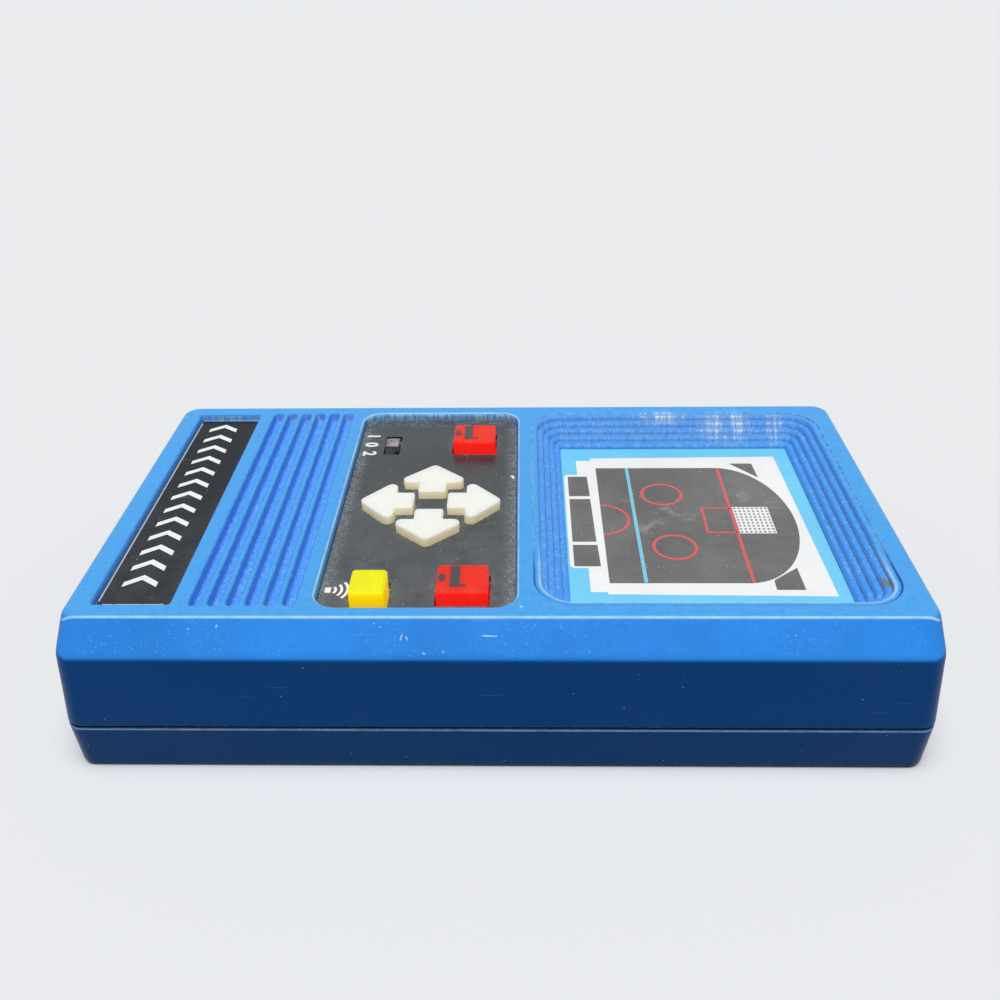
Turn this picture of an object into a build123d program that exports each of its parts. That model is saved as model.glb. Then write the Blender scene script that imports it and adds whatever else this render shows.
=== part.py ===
from build123d import *
import os
from math import atan2, cos, degrees, pi, radians, sin, sqrt, tan

# Handheld electronic game for one 9 V battery. Millimetres, +X along the case towards the display,
# +Y away from the player, +Z up. The origin is the middle of the face that the case lies on.

# Case: a deep upper shell and a shallow lower tray that meet at a shadow line
case_length = 140.2
case_width = 84.2
case_height = 27.2
parting_height = 9.0
parting_gap = 0.3
seam_round = 0.3
end_lean = 1.1
side_lean = 0.9
bottom_lean = 0.45
shoulder_drop = 4.7
shoulder_run = 4.75
shoulder_ease = 0.6
corner_radius = 3.2
edge_round = 0.8
wall = 2.2
top_wall = 2.6
floor_wall = 2.0
tongue_thickness = 1.0
tongue_height = 1.8
fit_gap = 0.15
overrun = 0.5

# Name plate and its recess, at the left end of the top face
label_margin = 4.2
label_recess_width = 12.6
label_end_margin = 3.3
label_depth = 1.4
label_thickness = 0.35
label_side_gap = 0.3
label_end_gap = 0.9
label_corner = 0.5
label_round = 0.5

# Blind grooves over the sounder
groove_margin = 3.1
groove_count = 6
groove_pitch = 3.0
groove_width = 1.9
groove_depth = 1.8
groove_end_margin = 2.9
groove_corner = 0.9
groove_round = 0.4

# Keypad: a black plate sunk in the top face, on a floor that holds the keys down
keypad_margin = 2.85
keypad_end_margin = 2.8
keypad_corner = 3.6
keypad_depth = 1.65
keypad_plate_thickness = 1.2
keypad_floor_thickness = 1.4
pocket_wall = 1.6
rim_round = 0.8

# Four arrow keys round one centre
arrow_reach = 13.25
arrow_neck = 6.5
arrow_head_width = 15.0
arrow_stem_width = 5.2
arrow_stem_start = 3.1
arrow_corner = 1.1
arrow_side_margin = 2.95
arrow_rise = 1.65
arrow_flange_start = 8.1
arrow_flange_width = 14.6
arrow_x_share = 0.0074
arrow_y_share = -0.024

# Two action buttons and one sound button, each wider or longer than square
action_width = 8.35
action_length = 7.6
action_rise = 2.6
action_x_share = 0.23
action_y_shares = (0.335, -0.41)
action_corner = 0.45
sound_width = 5.8
sound_length = 6.4
sound_rise = 3.1
sound_x_share = -0.24
sound_y_share = -0.4295
sound_corner = 0.7
key_travel = 0.9
key_gap = 0.35
key_round = 0.3
flange_thickness = 1.0
flange_reach = 1.0
plunger_radius = 1.7

# Slide switch with three stops
switch_x_share = -0.29
switch_y_share = 0.331
knob_width = 2.65
knob_length = 3.2
knob_rise = 0.9
knob_travel = 1.9
knob_taper = 0.25
switch_width = 7.4
switch_length = 13.6
switch_wall = 0.9
switch_slider_height = 1.4
switch_slider_length = 6.4
switch_cover_thickness = 0.4
switch_cover_skirt = 2.4
switch_headroom = 0.4

# Display: a shallow ledge, then a stepped well down to a printed window
display_margin = 2.95
display_right_margin = 3.8
display_end_margin = 3.1
display_depth = 5.45
step_count = 5
step_tread = 1.2
ledge_width = 1.2
ledge_depth = 0.25
ledge_round = 0.2
window_corner = 0.6
step_round = 0.45
lens_lap = 1.2
lens_thickness = 1.5
lens_gap = 0.25

# Main circuit board and what it carries
board_thickness = 1.6
board_left_margin = 2.8
board_right_margin = 9.5
board_end_margin = 1.0
board_boss_inset = 3.2
boss_radius = 2.6
led_height = 3.0
led_columns = 9
led_rows = 5
led_slot_length = 3.0
led_slot_width = 1.1
led_chip_height = 0.4
led_field_gap = 1.4
led_field_right_margin = 4.4
led_field_width_share = 0.66
digit_length = 6.4
digit_width = 4.2
digit_height = 2.6
digit_shares = (-0.215, -0.065, 0.065, 0.215)
digit_margin = 1.2
mat_thickness = 0.8
mat_margin = 2.0
dome_pressed_height = 0.7
dome_radius = 3.6
dome_top_radius = 2.3
dome_wall = 0.6
chip_length = 36.0
chip_width = 13.6
chip_height = 3.8
chip_standoff = 0.5
chip_pins = 28
chip_pin_width = 0.5
chip_pin_thickness = 0.3
chip_pin_spread = 0.8
chip_notch = 1.2
chip_x_share = 0.62
can_radius = 3.2
can_length = 11.0
can_x_share = 0.86
can_y_share = 0.3
lead_radius = 0.3
resistor_radius = 1.1
resistor_length = 6.2
resistor_count = 6
resistor_pitch = 4.0
resistor_x_share = 0.28
transistor_radius = 2.3
transistor_height = 4.6
transistor_leg = 1.6
transistor_count = 3
transistor_pitch = 7.0
transistor_gap = 7.0
transistor_y_share = -0.3

# Sounder under the grooves
sounder_radius = 13.0
sounder_thickness = 0.3
crystal_radius = 10.5
crystal_thickness = 0.25
gasket_thickness = 0.6
gasket_width = 1.8
ring_wall = 1.2
ring_height = 1.5
ring_gap = 0.3

# 9 V battery, its snaps, clip and bay
battery_length = 46.4
battery_width = 26.5
battery_depth = 17.5
battery_corner = 2.0
snap_pitch = 12.8
snap_height = 2.2
stud_radius = 2.8
snap_ring_radius = 3.9
snap_ring_wall = 1.0
running_gap = 0.06
clip_thickness = 2.2
clip_length = 25.0
clip_height = 12.6
bay_margin = 5.3
bay_gap = 0.4
bay_wall = 1.4
bay_roof = 1.2
pad_thickness = 0.8
pad_margin = 3.0
rail_width = 1.6
rail_height = 1.2
wire_notch = 4.0
wire_radius = 0.65
wire_pitch = 2.4
thin_wire_radius = 0.3
thin_wire_landing = 4.0

# Battery door: slides out over the left end
door_flange = 1.0
door_lap = 1.1
door_side_gap = 0.1
grip_count = 5
grip_pitch = 2.6
grip_width = 1.2
grip_depth = 0.5
grip_length = 18.0
grip_margin = 6.0

# Screws
case_boss_inset = 6.8
case_boss_radius = 3.2
case_screw_radius = 1.25
case_screw_grip = 10.0
case_head_radius = 2.4
case_head_height = 1.6
head_clearance = 0.3
head_depth = 4.6
screw_play = 0.03
hole_play = 0.25
board_screw_grip = 4.6
board_head_radius = 2.2
board_head_height = 1.4
cross_width = 0.7
cross_depth = 0.8
rib_thickness = 1.2
rib_height = 3.0
rib_y_share = 0.24
post_radius = 2.0

# Heights, from the top face down
top_z = case_height
ceiling_z = top_z - top_wall
shoulder_z = top_z - shoulder_drop
upper_edge_z = parting_height + parting_gap / 2
lower_edge_z = parting_height - parting_gap / 2
plate_top_z = top_z - keypad_depth
plate_low_z = plate_top_z - keypad_plate_thickness
floor_low_z = plate_low_z - keypad_floor_thickness
flange_low_z = floor_low_z - flange_thickness
lens_top_z = top_z - display_depth
lens_low_z = lens_top_z - lens_thickness
led_top_z = lens_low_z - lens_gap
board_top_z = led_top_z - led_height
board_low_z = board_top_z - board_thickness
mat_top_z = board_top_z + mat_thickness
dome_height = key_travel + dome_pressed_height
dome_top_z = mat_top_z + dome_height
ledge_z = top_z - ledge_depth
step_depth = (display_depth - ledge_depth) / step_count
shoulder_angle = atan2(shoulder_drop, shoulder_run)

# The top face's half sizes, and the places of its features from left to right
top_half_length = case_length / 2 - end_lean
shoulder_half_width = case_width / 2 - side_lean
top_half_width = shoulder_half_width - shoulder_run
label_left = label_margin - top_half_length
label_right = label_left + label_recess_width
label_x = (label_left + label_right) / 2
label_length = 2 * (top_half_width - label_end_margin)
groove_field = groove_pitch * (groove_count - 1) + groove_width
groove_x = label_right + groove_margin + groove_field / 2
groove_length = 2 * (top_half_width - groove_end_margin)
keypad_left = groove_x + groove_field / 2 + keypad_margin
keypad_width = 2 * (arrow_reach + arrow_side_margin)
keypad_length = 2 * (top_half_width - keypad_end_margin)
keypad_x = keypad_left + keypad_width / 2
sounder_x = keypad_left - pocket_wall - ring_gap - ring_wall - fit_gap - sounder_radius
display_left = keypad_left + keypad_width + display_margin
display_right = top_half_length - display_right_margin
display_x = (display_left + display_right) / 2
stair_width = step_tread * (step_count - 1)
window_length = display_right - display_left - 2 * (stair_width + ledge_width)
window_width = 2 * (top_half_width - display_end_margin - stair_width - ledge_width)
arrow_x = keypad_x + arrow_x_share * keypad_width
arrow_y = arrow_y_share * keypad_length
action_x = keypad_x + action_x_share * keypad_width
sound_x = keypad_x + sound_x_share * keypad_width
sound_y = sound_y_share * keypad_length
switch_x = keypad_x + switch_x_share * keypad_width
switch_y = switch_y_share * keypad_length

# The board, its bosses and the case's bosses
inner_half_length = case_length / 2 - wall
inner_half_width = case_width / 2 - wall
board_left = keypad_left - board_left_margin - pocket_wall
board_right = top_half_length - board_right_margin
board_x = (board_left + board_right) / 2
board_length = board_right - board_left
board_width = 2 * (top_half_width - board_end_margin)
board_boss_x = board_length / 2 - board_boss_inset
board_boss_y = board_width / 2 - board_boss_inset
case_boss_x = case_length / 2 - case_boss_inset
case_boss_y = case_width / 2 - case_boss_inset

# The battery bay
clip_space = snap_height + clip_thickness + fit_gap
bay_left = bay_margin - case_length / 2
bay_right = bay_left + battery_width + 2 * bay_gap
bay_x = (bay_left + bay_right) / 2
rail_half = (battery_length + clip_space) / 2 + bay_gap
bay_half = rail_half + rail_width
door_top_z = floor_wall + door_side_gap + door_flange
rail_low_z = door_top_z + fit_gap
battery_low_z = door_top_z + fit_gap
battery_top_z = battery_low_z + battery_depth
roof_low_z = battery_top_z + pad_thickness
roof_top_z = roof_low_z + bay_roof
battery_y = -clip_space / 2
battery_mid_z = (battery_low_z + battery_top_z) / 2
clip_y = battery_y + battery_length / 2 + snap_height + clip_thickness / 2

parts = {}


def keep(part, name):
    """Labels a finished piece, writes it and keeps it for the final print."""
    part.label = name
    export_step(part, f"parts/{name}.step")
    parts[name] = part


def edge_inset(distance, radius):
    """How far a rounded square edge lies inside the sharp one, at a distance from its face."""
    if distance >= radius:
        return 0
    return radius - sqrt(radius**2 - (radius - distance) ** 2)


def outer_half_length(z):
    """Half length of the upper shell: the end walls lean in towards the top."""
    lean = end_lean * (z - parting_height) / (top_z - parting_height)
    return case_length / 2 - lean - edge_inset(top_z - z, edge_round)


def outer_half_width(z):
    """Half width of the upper shell: leaning wall, eased shoulder, slope and rounded top edge."""
    wall_slope = -side_lean / (shoulder_z - parting_height)
    slope = -shoulder_run / shoulder_drop
    ease_low = shoulder_z - shoulder_ease
    drop_left = top_z - z
    if z <= shoulder_z + shoulder_ease:
        rise = max(z - ease_low, 0)
        bend = (slope - wall_slope) * rise**2 / (4 * shoulder_ease)
        return case_width / 2 + wall_slope * (z - parting_height) + bend
    if drop_left >= edge_round * (1 - cos(shoulder_angle)):
        return top_half_width - slope * drop_left
    flat_half = top_half_width - edge_round * tan(shoulder_angle / 2)
    return flat_half + sqrt(edge_round**2 - (edge_round - drop_left) ** 2)


def tapered_box(levels, radius, centre=(0, 0)):
    """A solid through rounded rectangles: each level is a height, a half length and a half width."""
    with BuildPart() as box:
        for z, half_length, half_width in levels:
            with BuildSketch(Plane.XY.offset(z)):
                with Locations(centre):
                    RectangleRounded(2 * half_length, 2 * half_width, radius)
        loft(ruled=True)
    return box.part


def rounded_block(length, width, radius, low_z, high_z, centre=(0, 0)):
    """An upright block with rounded corners."""
    with BuildPart() as block:
        with BuildSketch(Plane.XY.offset(low_z)):
            with Locations(centre):
                RectangleRounded(length, width, radius)
        extrude(amount=high_z - low_z)
    return block.part


def arrow_sketch(grow, turn, centre):
    """One arrow that points away from the pad's centre, made wider all round by grow."""
    half_head = arrow_head_width / 2
    half_stem = arrow_stem_width / 2
    with BuildSketch(Plane.XY) as sketch:
        with BuildLine():
            Polyline(
                (arrow_stem_start, -half_stem),
                (arrow_neck, -half_stem),
                (arrow_neck, -half_head),
                (arrow_reach, 0),
                (arrow_neck, half_head),
                (arrow_neck, half_stem),
                (arrow_stem_start, half_stem),
                close=True,
            )
        make_face()
        outer_corners = sketch.vertices().filter_by(
            lambda v: abs(abs(v.Y) - half_stem) > half_stem / 2
        )
        fillet(outer_corners, arrow_corner)
        stem_end = sketch.vertices().group_by(Axis.X)[0]
        fillet(stem_end, arrow_corner / 2)
        if grow > 0:
            offset(amount=grow, kind=Kind.INTERSECTION)
    return sketch.sketch.rotate(Axis.Z, turn).translate(Vector(*centre, 0))


arrow_turns = {"arrow_key_right": 0, "arrow_key_far": 90, "arrow_key_left": 180, "arrow_key_near": 270}
arrow_centre = (arrow_x, arrow_y)

# Outside of the upper shell, level by level, with its rounded edges and eased shoulder
ease_steps = 4
round_steps = 4
seam_steps = 2
upper_heights = []
for step in range(seam_steps + 1):
    upper_heights.append(upper_edge_z + seam_round * (1 - cos(pi / 2 * step / seam_steps)))
for step in range(ease_steps + 1):
    upper_heights.append(shoulder_z - shoulder_ease + 2 * shoulder_ease * step / ease_steps)
for step in range(round_steps + 1):
    upper_heights.append(top_z - edge_round * (1 - cos(pi / 2 * (1 - step / round_steps))))
upper_levels = []
for z in upper_heights:
    inset = edge_inset(z - upper_edge_z, seam_round)
    upper_levels.append((z, outer_half_length(z) - inset, outer_half_width(z) - inset))
upper_outside = tapered_box(upper_levels, corner_radius - edge_round / 2)

# Inside of the upper shell: straight walls, then the back of the slope up to the ceiling
inner_shoulder_z = shoulder_z - wall * tan(shoulder_angle / 2)
inner_shoulder_half = outer_half_width(shoulder_z - shoulder_ease) - wall
ceiling_half = inner_shoulder_half - (ceiling_z - inner_shoulder_z) / tan(shoulder_angle)
upper_inside_levels = [
    (upper_edge_z, inner_half_length, inner_half_width),
    (inner_shoulder_z, outer_half_length(inner_shoulder_z) - wall, inner_shoulder_half),
    (ceiling_z, outer_half_length(ceiling_z) - wall, ceiling_half),
]
upper_inside = tapered_box(upper_inside_levels, corner_radius / 2)
rebate = rounded_block(
    2 * (inner_half_length + tongue_thickness + fit_gap),
    2 * (inner_half_width + tongue_thickness + fit_gap),
    corner_radius - wall + tongue_thickness + fit_gap,
    upper_edge_z,
    lower_edge_z + tongue_height + fit_gap,
)

# Upper shell
with BuildPart() as upper_shell:
    add(upper_outside)
    add(upper_inside, mode=Mode.SUBTRACT)
    add(rebate, mode=Mode.SUBTRACT)
    # Bosses for the case screws and for the board screws
    with BuildSketch(Plane.XY.offset(parting_height)):
        with GridLocations(2 * case_boss_x, 2 * case_boss_y, 2, 2):
            Circle(case_boss_radius)
    extrude(amount=ceiling_z + overrun - parting_height)
    with BuildSketch(Plane.XY.offset(board_top_z)):
        with Locations((board_x, 0)):
            with GridLocations(2 * board_boss_x, 2 * board_boss_y, 2, 2):
                Circle(boss_radius)
    extrude(amount=ceiling_z + overrun - board_top_z)
    # Ring that holds the sounder
    with BuildSketch(Plane.XY.offset(ceiling_z - ring_height)):
        with Locations((sounder_x, 0)):
            Circle(sounder_radius + fit_gap + ring_wall)
            Circle(sounder_radius + fit_gap, mode=Mode.SUBTRACT)
    extrude(amount=ring_height)
    # Tray under the keypad
    with BuildSketch(Plane.XY.offset(floor_low_z)):
        with Locations((keypad_x, 0)):
            RectangleRounded(
                keypad_width + 2 * pocket_wall, keypad_length + 2 * pocket_wall, keypad_corner + pocket_wall
            )
    extrude(amount=ceiling_z + overrun - floor_low_z)
    # Tray under each step of the display well
    for step in range(step_count):
        spread = 2 * (stair_width - step_tread * step)
        step_low_z = ledge_z - step_depth * (step + 1)
        with BuildSketch(Plane.XY.offset(max(step_low_z - pocket_wall, lens_top_z))):
            with Locations((display_x, 0)):
                RectangleRounded(
                    window_length + spread + 2 * pocket_wall,
                    window_width + spread + 2 * pocket_wall,
                    window_corner + spread / 2 + pocket_wall,
                )
        extrude(amount=ceiling_z + overrun - max(step_low_z - pocket_wall, lens_top_z))
    # Rim that locates the window
    lens_pocket_half = lens_lap + fit_gap
    with BuildSketch(Plane.XY.offset(lens_low_z)):
        with Locations((display_x, 0)):
            RectangleRounded(
                window_length + 2 * (lens_pocket_half + pocket_wall),
                window_width + 2 * (lens_pocket_half + pocket_wall),
                window_corner + pocket_wall,
            )
            Rectangle(
                window_length + 2 * lens_pocket_half, window_width + 2 * lens_pocket_half, mode=Mode.SUBTRACT
            )
    extrude(amount=lens_thickness + pocket_wall / 2)
    # Ledge, then the steps of the well, widest at the top, and the window itself
    ledge_spread = 2 * (stair_width + ledge_width)
    with BuildSketch(Plane.XY.offset(ledge_z)):
        with Locations((display_x, 0)):
            RectangleRounded(
                window_length + ledge_spread, window_width + ledge_spread, window_corner + ledge_spread / 2
            )
    extrude(amount=ledge_depth + overrun, mode=Mode.SUBTRACT)
    for step in range(step_count):
        spread = 2 * (stair_width - step_tread * step)
        with BuildSketch(Plane.XY.offset(ledge_z - step_depth * (step + 1))):
            with Locations((display_x, 0)):
                RectangleRounded(
                    window_length + spread, window_width + spread, window_corner + spread / 2
                )
        extrude(amount=step_depth + overrun, mode=Mode.SUBTRACT)
    with BuildSketch(Plane.XY.offset(lens_top_z - overrun)):
        with Locations((display_x, 0)):
            RectangleRounded(window_length, window_width, window_corner)
    extrude(amount=step_depth + overrun, mode=Mode.SUBTRACT)
    # Recess and openings of the keypad
    with BuildSketch(Plane.XY.offset(plate_low_z)):
        with Locations((keypad_x, 0)):
            RectangleRounded(keypad_width, keypad_length, keypad_corner)
    extrude(amount=top_z - plate_low_z + overrun, mode=Mode.SUBTRACT)
    with BuildSketch(Plane.XY.offset(floor_low_z)):
        for turn in arrow_turns.values():
            add(arrow_sketch(key_gap, turn, arrow_centre))
        for share in action_y_shares:
            with Locations((action_x, share * keypad_length)):
                Rectangle(action_width + 2 * key_gap, action_length + 2 * key_gap)
        with Locations((sound_x, sound_y)):
            Rectangle(sound_width + 2 * key_gap, sound_length + 2 * key_gap)
        with Locations((switch_x, switch_y)):
            Rectangle(knob_width + 2 * key_gap, knob_length + 2 * (knob_travel + key_gap))
    extrude(amount=keypad_floor_thickness, mode=Mode.SUBTRACT)
    # Recess of the name plate, and the grooves
    with BuildSketch(Plane.XY.offset(top_z - label_depth)):
        with Locations((label_x, 0)):
            RectangleRounded(label_recess_width, label_length, label_corner)
    extrude(amount=label_depth + overrun, mode=Mode.SUBTRACT)
    with BuildSketch(Plane.XY.offset(top_z - groove_depth)):
        with Locations((groove_x, 0)):
            with GridLocations(groove_pitch, 0, groove_count, 1):
                RectangleRounded(groove_width, groove_length, groove_corner)
    extrude(amount=groove_depth + overrun, mode=Mode.SUBTRACT)
    # Pilot holes
    with BuildSketch(Plane.XY.offset(parting_height)):
        with GridLocations(2 * case_boss_x, 2 * case_boss_y, 2, 2):
            Circle(case_screw_radius + screw_play)
    extrude(amount=case_screw_grip, mode=Mode.SUBTRACT)
    with BuildSketch(Plane.XY.offset(board_top_z)):
        with Locations((board_x, 0)):
            with GridLocations(2 * board_boss_x, 2 * board_boss_y, 2, 2):
                Circle(case_screw_radius + screw_play)
    extrude(amount=board_screw_grip, mode=Mode.SUBTRACT)
    # Soft edges of the recesses in the top face
    top_edges = upper_shell.faces().sort_by(Axis.Z)[-1].inner_wires().edges()
    keypad_edges = top_edges.filter_by(
        lambda e: keypad_left - overrun < e.center().X < keypad_left + keypad_width + overrun
    )
    fillet(keypad_edges, rim_round)
    top_edges = upper_shell.faces().sort_by(Axis.Z)[-1].inner_wires().edges()
    fillet(top_edges.filter_by(lambda e: e.center().X > display_left - overrun), ledge_round)
    top_edges = upper_shell.faces().sort_by(Axis.Z)[-1].inner_wires().edges()
    groove_edges = top_edges.filter_by(
        lambda e: label_right + overrun < e.center().X < keypad_left - overrun
    )
    fillet(groove_edges, groove_round)
    label_edges = (
        upper_shell.faces().sort_by(Axis.Z)[-1].inner_wires().edges()
        .filter_by(lambda e: e.center().X < label_right + overrun)
    )
    fillet(label_edges, label_round)
    for step in range(step_count):
        tread_z = ledge_z - step_depth * step
        treads = upper_shell.faces().filter_by(
            lambda f: f.bounding_box().size.Z < ledge_round / 2
            and abs(f.center().Z - tread_z) < ledge_round / 2
            and f.center().X > display_left
        )
        tread_edges = treads.sort_by(SortBy.AREA)[-1].inner_wires().edges()
        fillet(tread_edges, step_round)
keep(upper_shell.part, "upper_shell")

# Outside of the lower tray, from its rounded bottom edge up to the shadow line
lower_heights = [edge_round * (1 - cos(pi / 2 * step / round_steps)) for step in range(round_steps + 1)]
for step in range(seam_steps + 1):
    lower_heights.append(lower_edge_z - seam_round * (1 - sin(pi / 2 * step / seam_steps)))
lower_levels = []
for z in lower_heights:
    lean = bottom_lean * (1 - z / parting_height)
    inset = lean + edge_inset(z, edge_round) + edge_inset(lower_edge_z - z, seam_round)
    lower_levels.append((z, case_length / 2 - inset, case_width / 2 - inset))
lower_outside = tapered_box(lower_levels, corner_radius - edge_round / 2)
lower_inside_levels = [
    (floor_wall, inner_half_length - bottom_lean, inner_half_width - bottom_lean),
    (lower_edge_z + overrun, inner_half_length, inner_half_width),
]
lower_inside = tapered_box(lower_inside_levels, corner_radius / 2)

door_opening_right = bay_right - door_lap
end_x = -case_length / 2

# Lower shell: tray, tongue, screw tubes, ribs, and the battery bay that stands up into the upper shell
with BuildPart() as lower_shell:
    add(lower_outside)
    add(lower_inside, mode=Mode.SUBTRACT)
    with BuildSketch(Plane.XY.offset(lower_edge_z - overrun)):
        RectangleRounded(
            2 * (inner_half_length + tongue_thickness),
            2 * (inner_half_width + tongue_thickness),
            corner_radius - wall + tongue_thickness,
        )
        RectangleRounded(2 * inner_half_length, 2 * inner_half_width, corner_radius / 2, mode=Mode.SUBTRACT)
    extrude(amount=tongue_height + overrun)
    with BuildSketch(Plane.XY.offset(floor_wall / 2)):
        with GridLocations(2 * case_boss_x, 2 * case_boss_y, 2, 2):
            Circle(case_boss_radius)
    extrude(amount=parting_height - floor_wall / 2)
    # Stiffening ribs and the posts that back the board under the keys
    rib_left = bay_right + bay_wall / 2
    rib_right = inner_half_length - bottom_lean - wall
    with BuildSketch(Plane.XY.offset(floor_wall / 2)):
        with Locations(((rib_left + rib_right) / 2, 0)):
            with GridLocations(0, 2 * rib_y_share * case_width, 1, 2):
                Rectangle(rib_right - rib_left, rib_thickness)
        for x in (keypad_x, display_x):
            with Locations((x, 0)):
                Rectangle(rib_thickness, 2 * (inner_half_width - bottom_lean) - wall)
    extrude(amount=rib_height + floor_wall / 2)
    with BuildSketch(Plane.XY.offset(floor_wall / 2)):
        with Locations((keypad_x, 0)):
            with GridLocations(0, 2 * rib_y_share * case_width, 1, 2):
                Circle(post_radius)
    extrude(amount=board_low_z - fit_gap - floor_wall / 2)
    # Bay: a box over the battery, open below
    with BuildSketch(Plane.XY.offset(floor_wall / 2)):
        with Locations((bay_x, 0)):
            Rectangle(bay_right - bay_left + 2 * bay_wall, 2 * (bay_half + bay_wall))
    extrude(amount=roof_top_z - floor_wall / 2)
    with BuildSketch(Plane.XY.offset(floor_wall)):
        with Locations((bay_x, 0)):
            Rectangle(bay_right - bay_left, 2 * bay_half)
    extrude(amount=roof_low_z - floor_wall, mode=Mode.SUBTRACT)
    with BuildSketch(Plane.XY.offset(rail_low_z)):
        with Locations((bay_x, 0)):
            with GridLocations(0, 2 * rail_half + rail_width, 1, 2):
                Rectangle(bay_right - bay_left, rail_width)
    extrude(amount=rail_height)
    # Door opening in the floor, and the notch in the end wall that the door slides out through
    with BuildSketch(Plane.XY.offset(-overrun)):
        with Locations(((end_x - overrun + door_opening_right) / 2, 0)):
            Rectangle(door_opening_right - end_x + overrun, 2 * rail_half)
    extrude(amount=floor_wall + 2 * overrun, mode=Mode.SUBTRACT)
    with BuildSketch(Plane.XY.offset(floor_wall)):
        with Locations(((end_x - overrun + bay_right) / 2, 0)):
            Rectangle(bay_right - end_x + overrun, 2 * bay_half)
    extrude(amount=rail_low_z - floor_wall, mode=Mode.SUBTRACT)
    with BuildSketch(Plane.XY.offset(-overrun)):
        with Locations((end_x, 0)):
            Rectangle(2 * wall, 2 * bay_half)
    extrude(amount=floor_wall + 2 * overrun, mode=Mode.SUBTRACT)
    # Notch for the battery leads
    with BuildSketch(Plane.YZ.offset(bay_right - overrun)):
        with Locations((clip_y, battery_mid_z)):
            RectangleRounded(clip_thickness, wire_notch, clip_thickness / 4)
    extrude(amount=bay_wall + 2 * overrun, mode=Mode.SUBTRACT)
    # Stepped screw holes, from below
    with Locations(Plane.XY):
        with GridLocations(2 * case_boss_x, 2 * case_boss_y, 2, 2):
            with Locations(Rotation(180, 0, 0)):
                CounterBoreHole(
                    case_screw_radius + hole_play,
                    case_head_radius + head_clearance,
                    head_depth,
                    parting_height,
                )
keep(lower_shell.part, "lower_shell")

# Battery door: panel, side flanges that run on the floor, end lip and finger grips
door_left = end_x
door_panel_right = door_opening_right - fit_gap
door_flange_right = bay_right - fit_gap
with BuildPart() as battery_door:
    with BuildSketch(Plane.XY):
        with Locations(((door_left + door_panel_right) / 2, 0)):
            Rectangle(door_panel_right - door_left, 2 * (rail_half - fit_gap))
    extrude(amount=door_top_z)
    with BuildSketch(Plane.XY.offset(floor_wall + door_side_gap)):
        with Locations(((door_left + door_flange_right) / 2, 0)):
            Rectangle(door_flange_right - door_left, 2 * (bay_half - fit_gap))
    extrude(amount=door_flange)
    with BuildSketch(Plane.XY):
        with Locations((door_left + wall / 2 - fit_gap / 2, 0)):
            Rectangle(wall - fit_gap, 2 * (bay_half - fit_gap))
    extrude(amount=door_top_z)
    add(lower_outside, mode=Mode.INTERSECT)
    with BuildSketch(Plane.XY):
        with Locations((door_left + grip_margin + grip_pitch * (grip_count - 1) / 2, 0)):
            with GridLocations(grip_pitch, 0, grip_count, 1):
                SlotOverall(grip_length, grip_width, rotation=90)
    extrude(amount=grip_depth, mode=Mode.SUBTRACT)
keep(battery_door.part, "battery_door")

# Name plate: a thin black plate in its recess
label_low_z = top_z - label_depth
with BuildPart() as name_plate:
    with BuildSketch(Plane.XY.offset(label_low_z)):
        with Locations((label_x, 0)):
            Rectangle(label_recess_width - 2 * label_side_gap, label_length - 2 * label_end_gap)
    extrude(amount=label_thickness)
keep(name_plate.part, "name_plate")

# Keypad plate with an opening for each key
with BuildPart() as keypad_plate:
    with BuildSketch(Plane.XY.offset(plate_low_z)):
        with Locations((keypad_x, 0)):
            RectangleRounded(
                keypad_width - 2 * fit_gap, keypad_length - 2 * fit_gap, keypad_corner - fit_gap
            )
        for turn in arrow_turns.values():
            add(arrow_sketch(key_gap * 2 / 3, turn, arrow_centre), mode=Mode.SUBTRACT)
        for share in action_y_shares:
            with Locations((action_x, share * keypad_length)):
                Rectangle(action_width + 2 * key_gap, action_length + 2 * key_gap, mode=Mode.SUBTRACT)
        with Locations((sound_x, sound_y)):
            Rectangle(sound_width + 2 * key_gap, sound_length + 2 * key_gap, mode=Mode.SUBTRACT)
        with Locations((switch_x, switch_y)):
            Rectangle(
                knob_width + 2 * key_gap, knob_length + 2 * (knob_travel + key_gap), mode=Mode.SUBTRACT
            )
    extrude(amount=keypad_plate_thickness)
keep(keypad_plate.part, "keypad_plate")

# Window: one dark moulding behind the well
with BuildPart() as display_window:
    with BuildSketch(Plane.XY.offset(lens_low_z)):
        with Locations((display_x, 0)):
            Rectangle(window_length + 2 * lens_lap, window_width + 2 * lens_lap)
    extrude(amount=lens_thickness)
    chamfer(display_window.edges().filter_by(Axis.Z), lens_lap / 4)
keep(display_window.part, "display_window")

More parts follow.
